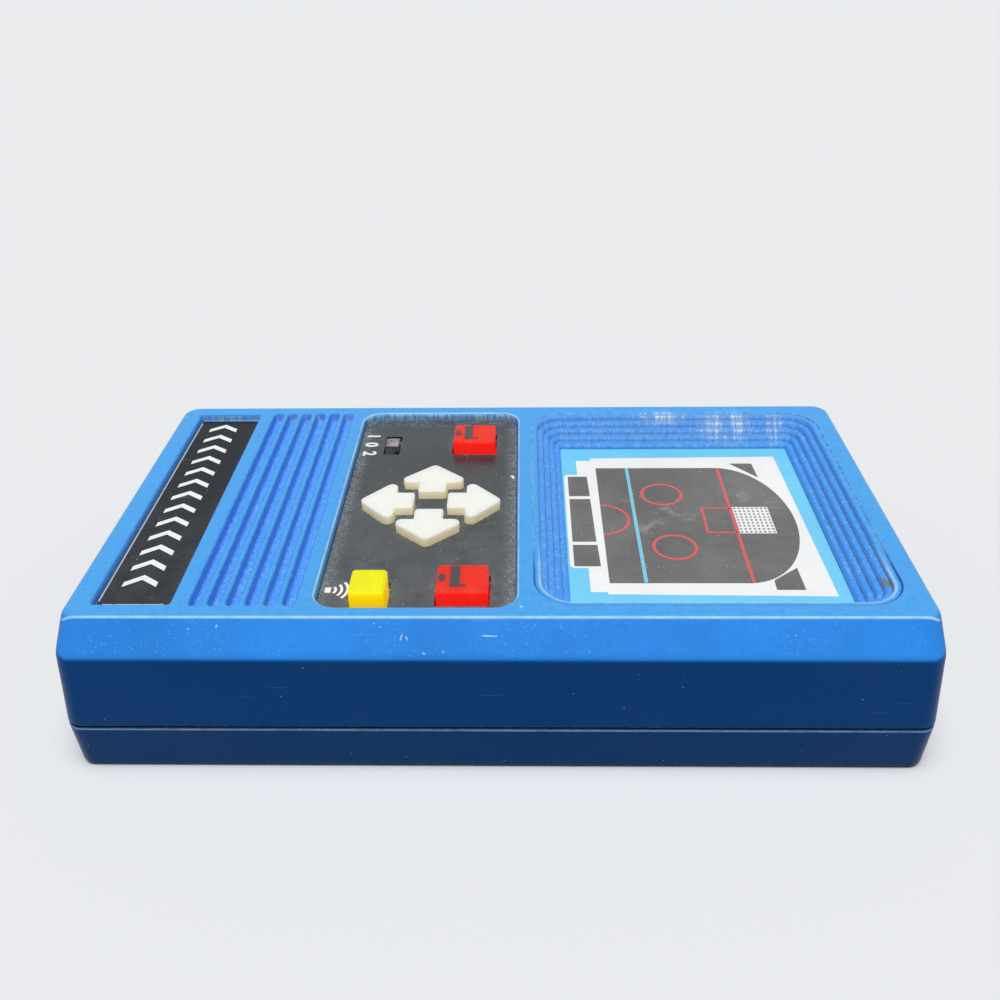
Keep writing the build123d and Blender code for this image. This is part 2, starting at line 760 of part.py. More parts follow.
# Arrow keys: the cap above the floor, the flange that the floor holds down, and the plunger
arrow_top_z = plate_top_z + arrow_rise
arrow_plunger = (arrow_reach + arrow_stem_start) / 2
for name, turn in arrow_turns.items():
    across = radians(turn)
    flange_x = (arrow_flange_start + arrow_reach + flange_reach) / 2
    flange_length = arrow_reach + flange_reach - arrow_flange_start
    flange_centre = (arrow_x + flange_x * cos(across), arrow_y + flange_x * sin(across))
    plunger_centre = (arrow_x + arrow_plunger * cos(across), arrow_y + arrow_plunger * sin(across))
    with BuildPart() as arrow_key:
        with BuildSketch(Plane.XY.offset(flange_low_z)):
            add(arrow_sketch(0, turn, arrow_centre))
        extrude(amount=arrow_top_z - flange_low_z)
        fillet(arrow_key.faces().sort_by(Axis.Z)[-1].edges(), key_round)
        with BuildSketch(Plane.XY.offset(flange_low_z)):
            with Locations(flange_centre):
                Rectangle(flange_length, arrow_flange_width, rotation=turn)
        extrude(amount=flange_thickness)
        with BuildSketch(Plane.XY.offset(dome_top_z)):
            with Locations(plunger_centre):
                Circle(plunger_radius)
        extrude(amount=flange_low_z - dome_top_z)
    keep(arrow_key.part, name)

# Square action buttons and the sound button, each with a flange all round
button_sizes = {
    "action_button_far": (action_width, action_length, action_x, action_y_shares[0] * keypad_length),
    "action_button_near": (action_width, action_length, action_x, action_y_shares[1] * keypad_length),
    "sound_button": (sound_width, sound_length, sound_x, sound_y),
}
button_rises = {
    "action_button_far": action_rise,
    "action_button_near": action_rise,
    "sound_button": sound_rise,
}
button_corners = {
    "action_button_far": action_corner,
    "action_button_near": action_corner,
    "sound_button": sound_corner,
}
button_rounds = {
    "action_button_far": key_round,
    "action_button_near": key_round,
    "sound_button": sound_corner * 2 / 3,
}
for name, (width, length, x, y) in button_sizes.items():
    with BuildPart() as button:
        with BuildSketch(Plane.XY.offset(flange_low_z)):
            with Locations((x, y)):
                RectangleRounded(width, length, button_corners[name])
        extrude(amount=plate_top_z + button_rises[name] - flange_low_z)
        fillet(button.faces().sort_by(Axis.Z)[-1].edges(), button_rounds[name])
        with BuildSketch(Plane.XY.offset(flange_low_z)):
            with Locations((x, y)):
                Rectangle(width + 2 * flange_reach, length + 2 * flange_reach)
        extrude(amount=flange_thickness)
        with BuildSketch(Plane.XY.offset(dome_top_z)):
            with Locations((x, y)):
                Circle(plunger_radius)
        extrude(amount=flange_low_z - dome_top_z)
    keep(button.part, name)

# Slide switch: open plastic base on the board, steel cover, and the knob with its slider
switch_top_z = floor_low_z - switch_headroom
cover_low_z = switch_top_z - switch_cover_thickness
slider_low_z = cover_low_z - fit_gap - switch_slider_height
with BuildPart() as switch_base:
    with BuildSketch(Plane.XY.offset(board_top_z)):
        with Locations((switch_x, switch_y)):
            Rectangle(switch_width, switch_length)
    extrude(amount=cover_low_z - board_top_z)
    with BuildSketch(Plane.XY.offset(slider_low_z - fit_gap)):
        with Locations((switch_x, switch_y)):
            Rectangle(switch_width - 2 * switch_wall, switch_length - 2 * switch_wall)
    extrude(amount=cover_low_z - slider_low_z + fit_gap, mode=Mode.SUBTRACT)
keep(switch_base.part, "switch_base")

with BuildPart() as switch_cover:
    with BuildSketch(Plane.XY.offset(cover_low_z)):
        with Locations((switch_x, switch_y)):
            Rectangle(switch_width + 2 * switch_cover_thickness, switch_length)
            Rectangle(
                knob_width + 2 * key_gap, knob_length + 2 * (knob_travel + key_gap), mode=Mode.SUBTRACT
            )
    extrude(amount=switch_cover_thickness)
    with BuildSketch(Plane.XY.offset(cover_low_z - switch_cover_skirt)):
        with Locations((switch_x, switch_y)):
            with GridLocations(switch_width + switch_cover_thickness, 0, 2, 1):
                Rectangle(switch_cover_thickness, switch_length)
    extrude(amount=switch_cover_skirt)
keep(switch_cover.part, "switch_cover")

knob_top_z = plate_top_z + knob_rise
with BuildPart() as switch_knob:
    with BuildSketch(Plane.XY.offset(slider_low_z)):
        with Locations((switch_x, switch_y)):
            Rectangle(switch_width - 2 * switch_wall - 2 * fit_gap, switch_slider_length)
    extrude(amount=switch_slider_height)
    with BuildSketch(Plane.XY.offset(slider_low_z)):
        with Locations((switch_x, switch_y)):
            Rectangle(knob_width, knob_length)
    extrude(amount=knob_top_z - slider_low_z)
    knob_top_edges = switch_knob.faces().sort_by(Axis.Z)[-1].edges()
    chamfer(knob_top_edges, knob_taper)
keep(switch_knob.part, "switch_knob")

# Rubber mat on the board, with a hollow dome under each key
dome_places = []
for turn in arrow_turns.values():
    reach = arrow_plunger
    dome_places.append((arrow_x + reach * cos(radians(turn)), arrow_y + reach * sin(radians(turn))))
for width, length, x, y in button_sizes.values():
    dome_places.append((x, y))
mat_length = keypad_length - 2 * mat_margin
mat_width = keypad_width - 2 * mat_margin
with BuildPart() as key_mat:
    with BuildSketch(Plane.XY.offset(board_top_z)):
        with Locations((keypad_x, 0)):
            RectangleRounded(mat_width, mat_length, keypad_corner / 2)
        with Locations((switch_x, switch_y)):
            Rectangle(
                switch_width + 4 * switch_cover_thickness, switch_length + 4 * fit_gap, mode=Mode.SUBTRACT
            )
    extrude(amount=mat_thickness)
    dome_slope = degrees(atan2(dome_radius - dome_top_radius, dome_height))
    with BuildSketch(Plane.XY.offset(mat_top_z)):
        with Locations(*dome_places):
            Circle(dome_radius)
    extrude(amount=dome_height, taper=dome_slope)
    with BuildSketch(Plane.XY.offset(board_top_z)):
        with Locations(*dome_places):
            Circle(dome_radius - dome_wall)
    extrude(amount=mat_thickness + dome_height - dome_wall, taper=dome_slope / 2, mode=Mode.SUBTRACT)
keep(key_mat.part, "key_mat")

# Main board
with BuildPart() as main_board:
    with BuildSketch(Plane.XY.offset(board_low_z)):
        with Locations((board_x, 0)):
            Rectangle(board_length, board_width)
            with GridLocations(2 * board_boss_x, 2 * board_boss_y, 2, 2):
                Circle(case_screw_radius + hole_play, mode=Mode.SUBTRACT)
    extrude(amount=board_thickness)
keep(main_board.part, "main_board")

# Light block: white walls round each light and each digit, lights at the bottom of their slots
block_margin = lens_gap + fit_gap
block_length = window_length - 2 * block_margin
block_width = window_width - 2 * block_margin
window_left = display_x - window_length / 2
digit_x = window_left + digit_margin + digit_width / 2
field_left = digit_x + digit_width / 2 + led_field_gap
field_right = window_left + window_length - led_field_right_margin
led_pitch_x = (field_right - field_left) / led_columns
led_pitch_y = led_field_width_share * window_width / led_rows
field_x = (field_left + field_right) / 2
digit_places = [(digit_x, share * window_width) for share in digit_shares]
with BuildPart() as light_block:
    with BuildSketch(Plane.XY.offset(board_top_z)):
        with Locations((display_x, 0)):
            RectangleRounded(block_length, block_width, window_corner)
        with Locations((field_x, 0)):
            with GridLocations(led_pitch_x, led_pitch_y, led_columns, led_rows):
                Rectangle(led_slot_width, led_slot_length, mode=Mode.SUBTRACT)
        with Locations(*digit_places):
            Rectangle(digit_width, digit_length, mode=Mode.SUBTRACT)
    extrude(amount=led_height)
keep(light_block.part, "light_block")

with BuildPart() as lights:
    with BuildSketch(Plane.XY.offset(board_top_z)):
        with Locations((field_x, 0)):
            with GridLocations(led_pitch_x, led_pitch_y, led_columns, led_rows):
                Rectangle(led_slot_width - 2 * fit_gap, led_slot_length / 2)
    extrude(amount=led_chip_height)
keep(lights.part, "lights")

with BuildPart() as digit_modules:
    with BuildSketch(Plane.XY.offset(board_top_z)):
        with Locations(*digit_places):
            Rectangle(digit_width - 2 * fit_gap, digit_length - 2 * fit_gap)
    extrude(amount=digit_height)
keep(digit_modules.part, "digit_modules")

# Game chip under the board, and its pins
chip_x = board_left + chip_x_share * board_length
chip_top_z = board_low_z - chip_standoff
chip_mid_z = chip_top_z - chip_height / 2
with BuildPart() as game_chip:
    with BuildSketch(Plane.XY.offset(chip_top_z - chip_height)):
        with Locations((chip_x, 0)):
            Rectangle(chip_width, chip_length)
    extrude(amount=chip_height)
    with BuildSketch(Plane.XY.offset(chip_top_z - chip_height)):
        with Locations((chip_x, chip_length / 2)):
            Circle(chip_notch)
    extrude(amount=chip_notch, mode=Mode.SUBTRACT)
keep(game_chip.part, "game_chip")

pins_a_side = chip_pins // 2
pin_pitch = chip_length / (pins_a_side + 1 / 2)
with BuildPart() as chip_legs:
    for side in (-1, 1):
        root_x = chip_x + side * chip_width / 2
        leg_x = root_x + side * chip_pin_spread
        with BuildSketch(Plane.XZ.offset(chip_pin_width / 2 - pin_pitch * (pins_a_side - 1) / 2)) as leg:
            with BuildLine():
                Polyline(
                    (root_x, chip_mid_z),
                    (leg_x, chip_mid_z),
                    (leg_x, board_low_z),
                    (leg_x - side * chip_pin_thickness, board_low_z),
                    (leg_x - side * chip_pin_thickness, chip_mid_z + chip_pin_thickness),
                    (root_x, chip_mid_z + chip_pin_thickness),
                    close=True,
                )
            make_face()
        leg_solid = extrude(amount=-chip_pin_width, mode=Mode.PRIVATE)
        for index in range(pins_a_side):
            add(leg_solid.moved(Location((0, -pin_pitch * index, 0))))
keep(chip_legs.part, "chip_legs")

# Capacitor can, lying under the board on its two leads
can_x = board_left + can_x_share * board_length
can_y = can_y_share * board_width
can_z = board_low_z - can_radius - fit_gap
with BuildPart() as capacitor:
    with BuildSketch(Plane.XZ.offset(-can_y - can_length / 2)):
        with Locations((can_x, can_z)):
            Circle(can_radius)
    extrude(amount=can_length)
    can_rims = capacitor.edges().filter_by(GeomType.CIRCLE)
    fillet(can_rims, lead_radius)
    with BuildSketch(Plane.XY.offset(can_z)):
        with Locations((can_x, can_y - can_length / 2 - lead_radius)):
            with GridLocations(can_radius, 0, 2, 1):
                Rectangle(2 * lead_radius, 4 * lead_radius)
    extrude(amount=board_low_z - can_z)
keep(capacitor.part, "capacitor")

# A row of resistors under the board, each a round body on two legs
resistor_x = board_left + resistor_x_share * board_length
resistor_z = board_low_z - resistor_radius - fit_gap
with BuildPart() as resistors:
    with Locations((resistor_x, 0)):
        with GridLocations(resistor_pitch, 0, resistor_count, 1):
            with Locations(Location((0, 0, resistor_z), (90, 0, 0))):
                Cylinder(resistor_radius, resistor_length)
            with Locations((0, 0, resistor_z)):
                with GridLocations(0, resistor_length + 2 * lead_radius, 1, 2):
                    Box(
                        2 * lead_radius,
                        2 * lead_radius,
                        board_low_z - resistor_z,
                        align=(Align.CENTER, Align.CENTER, Align.MIN),
                    )
keep(resistors.part, "resistors")

# Transistors that drive the lights, in a row beside the posts: flat-sided cans on three legs
transistor_x = keypad_x + post_radius + transistor_gap + transistor_radius + transistor_pitch
transistor_y = transistor_y_share * board_width
transistor_top_z = board_low_z - transistor_leg
with BuildPart() as transistors:
    with BuildSketch(Plane.XY.offset(transistor_top_z - transistor_height)):
        with Locations((transistor_x, transistor_y)):
            with GridLocations(transistor_pitch, 0, transistor_count, 1):
                Circle(transistor_radius)
                with Locations((0, -transistor_radius)):
                    Rectangle(2 * transistor_radius, transistor_radius, mode=Mode.SUBTRACT)
    extrude(amount=transistor_height)
    with BuildSketch(Plane.XY.offset(transistor_top_z)):
        with Locations((transistor_x, transistor_y)):
            with GridLocations(transistor_pitch, 0, transistor_count, 1):
                with GridLocations(transistor_radius / 2, 0, 3, 1):
                    Rectangle(lead_radius, lead_radius)
    extrude(amount=transistor_leg)
keep(transistors.part, "transistors")

# Sounder: foam ring on the ceiling, brass disc, ceramic disc
gasket_low_z = ceiling_z - gasket_thickness
disc_low_z = gasket_low_z - sounder_thickness
crystal_low_z = disc_low_z - crystal_thickness
with BuildPart() as sounder_gasket:
    with BuildSketch(Plane.XY.offset(gasket_low_z)):
        with Locations((sounder_x, 0)):
            Circle(sounder_radius)
            Circle(sounder_radius - gasket_width, mode=Mode.SUBTRACT)
    extrude(amount=gasket_thickness)
keep(sounder_gasket.part, "sounder_gasket")

with BuildPart() as sounder_disc:
    with BuildSketch(Plane.XY.offset(disc_low_z)):
        with Locations((sounder_x, 0)):
            Circle(sounder_radius)
    extrude(amount=sounder_thickness)
keep(sounder_disc.part, "sounder_disc")

with BuildPart() as sounder_crystal:
    with BuildSketch(Plane.XY.offset(crystal_low_z)):
        with Locations((sounder_x, 0)):
            Circle(crystal_radius)
    extrude(amount=crystal_thickness)
keep(sounder_crystal.part, "sounder_crystal")

# Battery: can with rounded corners, and its two snaps
battery_end_y = battery_y + battery_length / 2
with BuildPart() as battery:
    with BuildSketch(Plane.XZ.offset(-battery_end_y)):
        with Locations((bay_x, battery_mid_z)):
            RectangleRounded(battery_width, battery_depth, battery_corner)
    extrude(amount=battery_length)
    can_ends = battery.faces().sort_by(Axis.Y)
    chamfer(can_ends[0].edges() + can_ends[-1].edges(), fit_gap)
keep(battery.part, "battery")

snap_plane = Plane(origin=(bay_x, battery_end_y, battery_mid_z), x_dir=(1, 0, 0), z_dir=(0, 1, 0))
with BuildPart() as battery_snaps:
    with BuildSketch(snap_plane):
        with Locations((-snap_pitch / 2, 0)):
            Circle(stud_radius)
        with Locations((snap_pitch / 2, 0)):
            RegularPolygon(snap_ring_radius, 6)
            Circle(snap_ring_radius - snap_ring_wall, mode=Mode.SUBTRACT)
    extrude(amount=snap_height)
keep(battery_snaps.part, "battery_snaps")

# Clip: its own ring over the battery's stud, its own stud in the battery's ring, and the backing strip
clip_stud_radius = snap_ring_radius - snap_ring_wall - running_gap
with BuildPart() as clip_snaps:
    with BuildSketch(snap_plane.offset(running_gap)):
        with Locations((-snap_pitch / 2, 0)):
            Circle(stud_radius + running_gap + snap_ring_wall)
            Circle(stud_radius + running_gap, mode=Mode.SUBTRACT)
        with Locations((snap_pitch / 2, 0)):
            Circle(clip_stud_radius)
    extrude(amount=snap_height - running_gap)
keep(clip_snaps.part, "clip_snaps")

with BuildPart() as battery_clip:
    with BuildSketch(snap_plane.offset(snap_height)):
        RectangleRounded(clip_length, clip_height, clip_thickness)
    extrude(amount=clip_thickness)
keep(battery_clip.part, "battery_clip")

# Foam pad between the battery and the bay's roof
with BuildPart() as battery_pad:
    with BuildSketch(Plane.XY.offset(battery_top_z)):
        with Locations((bay_x, battery_y)):
            Rectangle(battery_width - 2 * pad_margin, battery_length - 2 * pad_margin)
    extrude(amount=pad_thickness)
keep(battery_pad.part, "battery_pad")


def wire(points, radii, thickness, name):
    """A lead along straight runs joined by arcs; prints its length and its arcs."""
    with BuildPart() as lead:
        with BuildLine() as route:
            FilletPolyline(*points, radius=radii)
        path = route.wire()
        with BuildSketch(Plane(origin=path @ 0, z_dir=path % 0)):
            Circle(thickness)
        sweep(path=path)
    print(name, "length", round(path.length, 2), "arcs", [round(r, 2) for r in radii])
    keep(lead.part, name)


# Battery leads: out of the clip's end, through the notch, up to the board
lead_start_x = bay_x + clip_length / 2
lead_bend = 3 * wire_radius
for side, name in ((-1, "battery_lead_minus"), (1, "battery_lead_plus")):
    lead_z = battery_mid_z + side * (wire_radius + fit_gap)
    lead_end_x = board_left + wall + wire_pitch * (1 - side)
    wire(
        [(lead_start_x, clip_y, lead_z), (lead_end_x, clip_y, lead_z), (lead_end_x, clip_y, board_low_z)],
        [min(lead_bend, (board_low_z - lead_z) * 2 / 3)],
        wire_radius,
        name,
    )

# Sounder leads: down from the rim and from the crystal, across, and down to the board
landing_x = board_left + thin_wire_landing
sounder_leads = {
    "sounder_lead_disc": ((sounder_radius + crystal_radius) / 2, disc_low_z, -1),
    "sounder_lead_crystal": (crystal_radius - 2 * thin_wire_radius, crystal_low_z, 1),
}
for name, (reach, start_z, side) in sounder_leads.items():
    y = side * wire_pitch / 2
    start_x = sounder_x + sqrt(reach**2 - y**2)
    run_z = (start_z + board_top_z) / 2
    bend = min(start_z - run_z, landing_x - start_x) * 2 / 5
    wire(
        [(start_x, y, start_z), (start_x, y, run_z), (landing_x, y, run_z), (landing_x, y, board_top_z)],
        [bend, bend],
        thin_wire_radius,
        name,
    )


def cross_screws(places, head_low_z, head_height, head_radius, shank_length, name):
    """Screws that point up: a domed head with a cross recess, and a plain shank."""
    with BuildPart() as screws:
        with BuildSketch(Plane.XY.offset(head_low_z)):
            with Locations(*places):
                Circle(head_radius)
        extrude(amount=head_height)
        chamfer(screws.edges().group_by(Axis.Z)[0], head_height / 3)
        with BuildSketch(Plane.XY.offset(head_low_z + head_height)):
            with Locations(*places):
                Circle(case_screw_radius)
        extrude(amount=shank_length)
        with BuildSketch(Plane.XY.offset(head_low_z)):
            with Locations(*places):
                Rectangle(head_radius, cross_width)
                Rectangle(cross_width, head_radius)
        extrude(amount=cross_depth, mode=Mode.SUBTRACT)
    keep(screws.part, name)


case_screw_places = [(x, y) for x in (-case_boss_x, case_boss_x) for y in (-case_boss_y, case_boss_y)]
cross_screws(
    case_screw_places,
    head_depth - case_head_height,
    case_head_height,
    case_head_radius,
    parting_height - head_depth + case_screw_grip - overrun,
    "case_screws",
)
board_screw_places = [
    (board_x + x, y) for x in (-board_boss_x, board_boss_x) for y in (-board_boss_y, board_boss_y)
]
cross_screws(
    board_screw_places,
    board_low_z - board_head_height,
    board_head_height,
    board_head_radius,
    board_thickness + board_screw_grip - overrun,
    "board_screws",
)

for name, part in parts.items():
    size = part.bounding_box().size
    print(name, "solids", len(part.solids()), "size", [round(v, 2) for v in (size.X, size.Y, size.Z)])
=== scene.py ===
# %% [markdown]
# # A pocket light game, dressed around its CAD frame
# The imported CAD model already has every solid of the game: case, keys, window, switch, battery and
# door. This lesson gives each of them its real finish, adds the thin prints that a CAD model leaves
# out, and lights the game like a plain product photograph. Every length is in metres, and the helper
# value mm turns millimetres into metres where a size is easier to read that way.

# %% Load the frame
import math
import bpy
from mathutils import Matrix, Vector


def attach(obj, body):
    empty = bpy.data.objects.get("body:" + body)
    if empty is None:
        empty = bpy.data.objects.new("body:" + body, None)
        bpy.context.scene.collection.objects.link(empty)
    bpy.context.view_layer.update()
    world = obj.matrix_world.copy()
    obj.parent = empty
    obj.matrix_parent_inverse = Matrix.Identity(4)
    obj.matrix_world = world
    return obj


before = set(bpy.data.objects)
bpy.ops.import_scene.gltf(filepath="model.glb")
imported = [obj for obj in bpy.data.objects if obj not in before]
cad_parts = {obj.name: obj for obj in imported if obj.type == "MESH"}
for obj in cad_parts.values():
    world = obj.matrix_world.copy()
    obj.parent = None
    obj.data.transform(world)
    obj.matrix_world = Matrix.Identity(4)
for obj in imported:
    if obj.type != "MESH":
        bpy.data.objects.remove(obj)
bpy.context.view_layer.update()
mm = 0.001
case = "case"

# %% [markdown]
# ## The camera comes first
# The photograph looks down on the game at about 32 degrees from the player's side. Three angles and
# one place describe that camera: a turn to the side, a tilt down, and a small lean of the horizon.
# The camera's matrix is built from its own three axes, so no rotation order can be mixed up.

# %% Camera
camera_place = Vector((4.217, -160.342, 124.625)) * mm
camera_turn = -0.02711
camera_tilt = 0.55119
camera_lean = -0.01621
lens_length = 36.36
sensor_width = 36.0

ahead = Vector((
    math.sin(camera_turn) * math.cos(camera_tilt),
    math.cos(camera_turn) * math.cos(camera_tilt),
    -math.sin(camera_tilt),
))
level_right = ahead.cross(Vector((0, 0, 1))).normalized()
level_up = level_right.cross(ahead)
right = level_right * math.cos(camera_lean) + level_up * math.sin(camera_lean)
up = level_up * math.cos(camera_lean) - level_right * math.sin(camera_lean)

lens = bpy.data.cameras.new("photo_camera")
lens.lens = lens_length
lens.sensor_width = sensor_width
camera = bpy.data.objects.new("photo_camera", lens)
bpy.context.collection.objects.link(camera)
axes = Matrix((right, up, -ahead)).transposed()
camera.matrix_world = Matrix.Translation(camera_place) @ axes.to_4x4()
bpy.context.scene.camera = camera
print("camera looks along", [round(value, 3) for value in ahead])

# %% [markdown]
# ## Helpers for modelling by hand
# Blender's operators act on whatever is selected, and the frame's nodes arrive selected. So each new
# piece starts with an empty selection. When a piece is finished its place is written into its mesh,
# its faces are turned outwards, and it is hung on the body that it moves with.

# %% Start and finish a piece
def start_clean():
    """Leaves edit mode and deselects everything."""
    if bpy.context.object and bpy.context.object.mode != "OBJECT":
        bpy.ops.object.mode_set(mode="OBJECT")
    bpy.ops.object.select_all(action="DESELECT")


def finish_piece(pieces, name, material, body=case):
    """Joins and names pieces, writes their place into the mesh, and hangs it on its body."""
    start_clean()
    for piece in pieces:
        piece.select_set(True)
    piece = pieces[0]
    bpy.context.view_layer.objects.active = piece
    if len(pieces) > 1:
        bpy.ops.object.join()
    bpy.ops.object.transform_apply(location=True, rotation=True, scale=True)
    bpy.ops.object.mode_set(mode="EDIT")
    bpy.ops.mesh.select_all(action="SELECT")
    bpy.ops.mesh.normals_make_consistent(inside=False)
    bpy.ops.object.mode_set(mode="OBJECT")
    piece.name = name
    piece.data.name = name
    piece.data.materials.clear()
    piece.data.materials.append(material)
    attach(piece, body)


print("helpers ready")

# %% [markdown]
# ## Node materials
# Every finish is a Principled shader with procedural detail from Object coordinates, so nothing
# slides when a piece moves, and nothing needs an image. A few small functions add the nodes: one for
# a node with its settings, one for noise, one that turns a value into a mask between two limits, and
# one that links the finished colour, roughness and bump to the shader.

# %% Node helpers
def add_node(material, kind, settings=None, links=None):
    """Adds a node, sets its properties and sockets, and links its inputs."""
    tree = material.node_tree
    node = tree.nodes.new(kind)
    for key, value in (settings or {}).items():
        if hasattr(node, key):
            setattr(node, key, value)
        else:
            node.inputs[key].default_value = value
    for key, socket in (links or {}).items():
        tree.links.new(socket, node.inputs[key])
    return node


def object_place(material):
    """Object coordinates: metres in the game's own frame."""
    return add_node(material, "ShaderNodeTexCoord").outputs["Object"]


def noise(material, scale, detail=2.0, roughness=0.5, place=None):
    """A noise value from 0 to 1, with scale in waves per metre."""
    place = place or object_place(material)
    settings = {"Scale": scale, "Detail": detail, "Roughness": roughness}
    return add_node(material, "ShaderNodeTexNoise", settings, {"Vector": place}).outputs["Fac"]


def stretched(material, scale, turn=(0.0, 0.0, 0.0)):
    """Object coordinates, turned and then scaled along each axis."""
    settings = {"Rotation": turn, "Scale": scale}
    links = {"Vector": object_place(material)}
    return add_node(material, "ShaderNodeMapping", settings, links).outputs["Vector"]


def mask(material, value, low, high, to_low=0.0, to_high=1.0):
    """A value eased from one limit to the other."""
    settings = {"interpolation_type": "SMOOTHSTEP", "From Min": low, "From Max": high,
                "To Min": to_low, "To Max": to_high}
    return add_node(material, "ShaderNodeMapRange", settings, {"Value": value}).outputs["Result"]


def calculate(material, operation, first, second):
    """Maths on two values; either can be a number or a socket."""
    node = add_node(material, "ShaderNodeMath", {"operation": operation})
    for index, value in enumerate((first, second)):
        if isinstance(value, (int, float)):
            node.inputs[index].default_value = value
        else:
            material.node_tree.links.new(value, node.inputs[index])
    return node.outputs[0]


def product(material, *values):
    """Several values multiplied together."""
    result = values[0]
    for other in values[1:]:
        result = calculate(material, "MULTIPLY", result, other)
    return result


def blend_colour(material, share, first, second):
    """Mixes two colours; either can be a colour or a socket."""
    node = add_node(material, "ShaderNodeMix", {"data_type": "RGBA"})
    material.node_tree.links.new(share, node.inputs["Factor"])
    for socket, value in ((node.inputs[6], first), (node.inputs[7], second)):
        if isinstance(value, tuple):
            socket.default_value = (*value, 1.0)
        else:
            material.node_tree.links.new(value, socket)
    return node.outputs[2]


def lay_over(material, colour, layers):
    """Lays colours over one another. Each layer holds a function that gives a mask, and a colour."""
    for layer_mask, layer_colour in layers:
        colour = blend_colour(material, layer_mask(material), colour, layer_colour)
    return colour


def turned(material, axis):
    """How far a face is turned along one axis: 1 when it looks straight along it."""
    facing = add_node(material, "ShaderNodeNewGeometry").outputs["Normal"]
    return add_node(material, "ShaderNodeSeparateXYZ", links={"Vector": facing}).outputs[axis]


def placed(material, axis):
    """The place along one axis in metres."""
    place = object_place(material)
    return add_node(material, "ShaderNodeSeparateXYZ", links={"Vector": place}).outputs[axis]


def between(material, axis, low, high, to_low=0.0, to_high=1.0):
    """A mask that eases from one place along an axis to another, in mm."""
    return mask(material, placed(material, axis), low * mm, high * mm, to_low, to_high)


def off_middle(material, axis, middle=0.0):
    """The distance from a plane across one axis, in metres; the plane's place is in mm."""
    away = calculate(material, "SUBTRACT", placed(material, axis), middle * mm)
    return calculate(material, "ABSOLUTE", away, 0.0)


def link_finish(material, shader, colour, roughness, height, strength, depth, normal=None):
    """Links a colour, a roughness and a bump to a shader. Depth is the bump's distance."""
    bump = add_node(material, "ShaderNodeBump", {"Strength": strength, "Distance": depth},
                    {"Height": height})
    links = material.node_tree.links
    if normal:
        links.new(normal, bump.inputs["Normal"])
    links.new(colour, shader.inputs["Base Color"])
    links.new(roughness, shader.inputs["Roughness"])
    links.new(bump.outputs["Normal"], shader.inputs["Normal"])


print("node helpers ready")

# %% [markdown]
# ## Wear that every moulded part shares
# A game that has been carried about shows three kinds of wear: dust specks that cling to the plastic,
# short fine scratches, and edges rubbed paler. Specks are the hearts of some Voronoi cells. The same
# cells, drawn out long in one direction, give scratches. Worn edges come from the Bevel node, which
# bends the normal near an edge: where it differs from the true normal, there is an edge. Dust in
# corners comes from ambient occlusion, and a mark at one place from the distance to that place.

# %% Wear masks
def specks(material, cells_a_metre, size, share, place=None):
    """Small dots: a share of the cells holds one, of up to the given part of a cell."""
    place = place or object_place(material)
    cells = add_node(material, "ShaderNodeTexVoronoi", {"Scale": cells_a_metre}, {"Vector": place})
    dot = mask(material, cells.outputs["Distance"], size, size * 0.5)
    parts = add_node(material, "ShaderNodeSeparateColor", links={"Color": cells.outputs["Color"]})
    chosen = mask(material, parts.outputs["Red"], 1 - share, 1 - share * 0.9)
    return product(material, dot, chosen)


def scratches(material, turn, cells_a_metre, size, share, stretch=0.05):
    """Fine straight scratches in one direction: specks drawn out long."""
    return specks(material, cells_a_metre, size, share, stretched(material, (stretch, 1.0, 1.0), turn))


def rounded_normal(material, radius):
    """The normal of the surface with its edges rounded off."""
    settings = {"samples": 4, "Radius": radius}
    return add_node(material, "ShaderNodeBevel", settings).outputs["Normal"]


def worn_edges(material, reach):
    """1 on an edge and 0 on a flat, broken up by noise."""
    true_normal = add_node(material, "ShaderNodeNewGeometry").outputs["Normal"]
    dot = add_node(material, "ShaderNodeVectorMath", {"operation": "DOT_PRODUCT"},
                   {0: rounded_normal(material, reach), 1: true_normal})
    edge = mask(material, dot.outputs["Value"], 0.995, 0.9)
    patchy = mask(material, noise(material, 900.0, 3.0, 0.7), 0.35, 0.65)
    return product(material, edge, patchy)


def corner_dust(material, reach, amount):
    """Dust that has gathered where surfaces meet, as scattered grains."""
    shade = add_node(material, "ShaderNodeAmbientOcclusion", {"samples": 4, "Distance": reach})
    corner = mask(material, shade.outputs["AO"], 0.95, 0.35)
    grains = mask(material, noise(material, 2600.0, 3.0, 0.75), 0.48, 0.62)
    return product(material, corner, grains, amount)


def mark_at(material, place, reach, stretch=(1.0, 1.0, 1.0), turn=0.0):
    """A ragged mark round one place in mm, drawn out or narrowed along the three axes."""
    settings = {"vector_type": "TEXTURE", "Location": [value * mm for value in place],
                "Rotation": (0.0, 0.0, turn), "Scale": stretch}
    mapping = add_node(material, "ShaderNodeMapping", settings, {"Vector": object_place(material)})
    far = add_node(material, "ShaderNodeVectorMath", {"operation": "LENGTH"},
                   {"Vector": mapping.outputs["Vector"]})
    ragged = mask(material, noise(material, 3200.0, 2.0), 0.3, 0.7, 0.55, 1.3)
    edge = calculate(material, "DIVIDE", far.outputs["Value"], ragged)
    return mask(material, edge, reach * mm, reach * 0.5 * mm)


def strongest(material, masks):
    """The greatest of several masks at each point."""
    result = masks[0]
    for other in masks[1:]:
        result = calculate(material, "MAXIMUM", result, other)
    return result


def marks_at(material, marks):
    """Several marks at once, each given by its place and what else mark_at takes."""
    return strongest(material, [mark_at(material, *mark) for mark in marks])


def patches(scale, low, high, strength):
    """A function that gives soft patches."""
    def patch_mask(material):
        return mask(material, noise(material, scale, 4.0, 0.65), low, high, 0.0, strength)
    return patch_mask


print("wear masks ready")

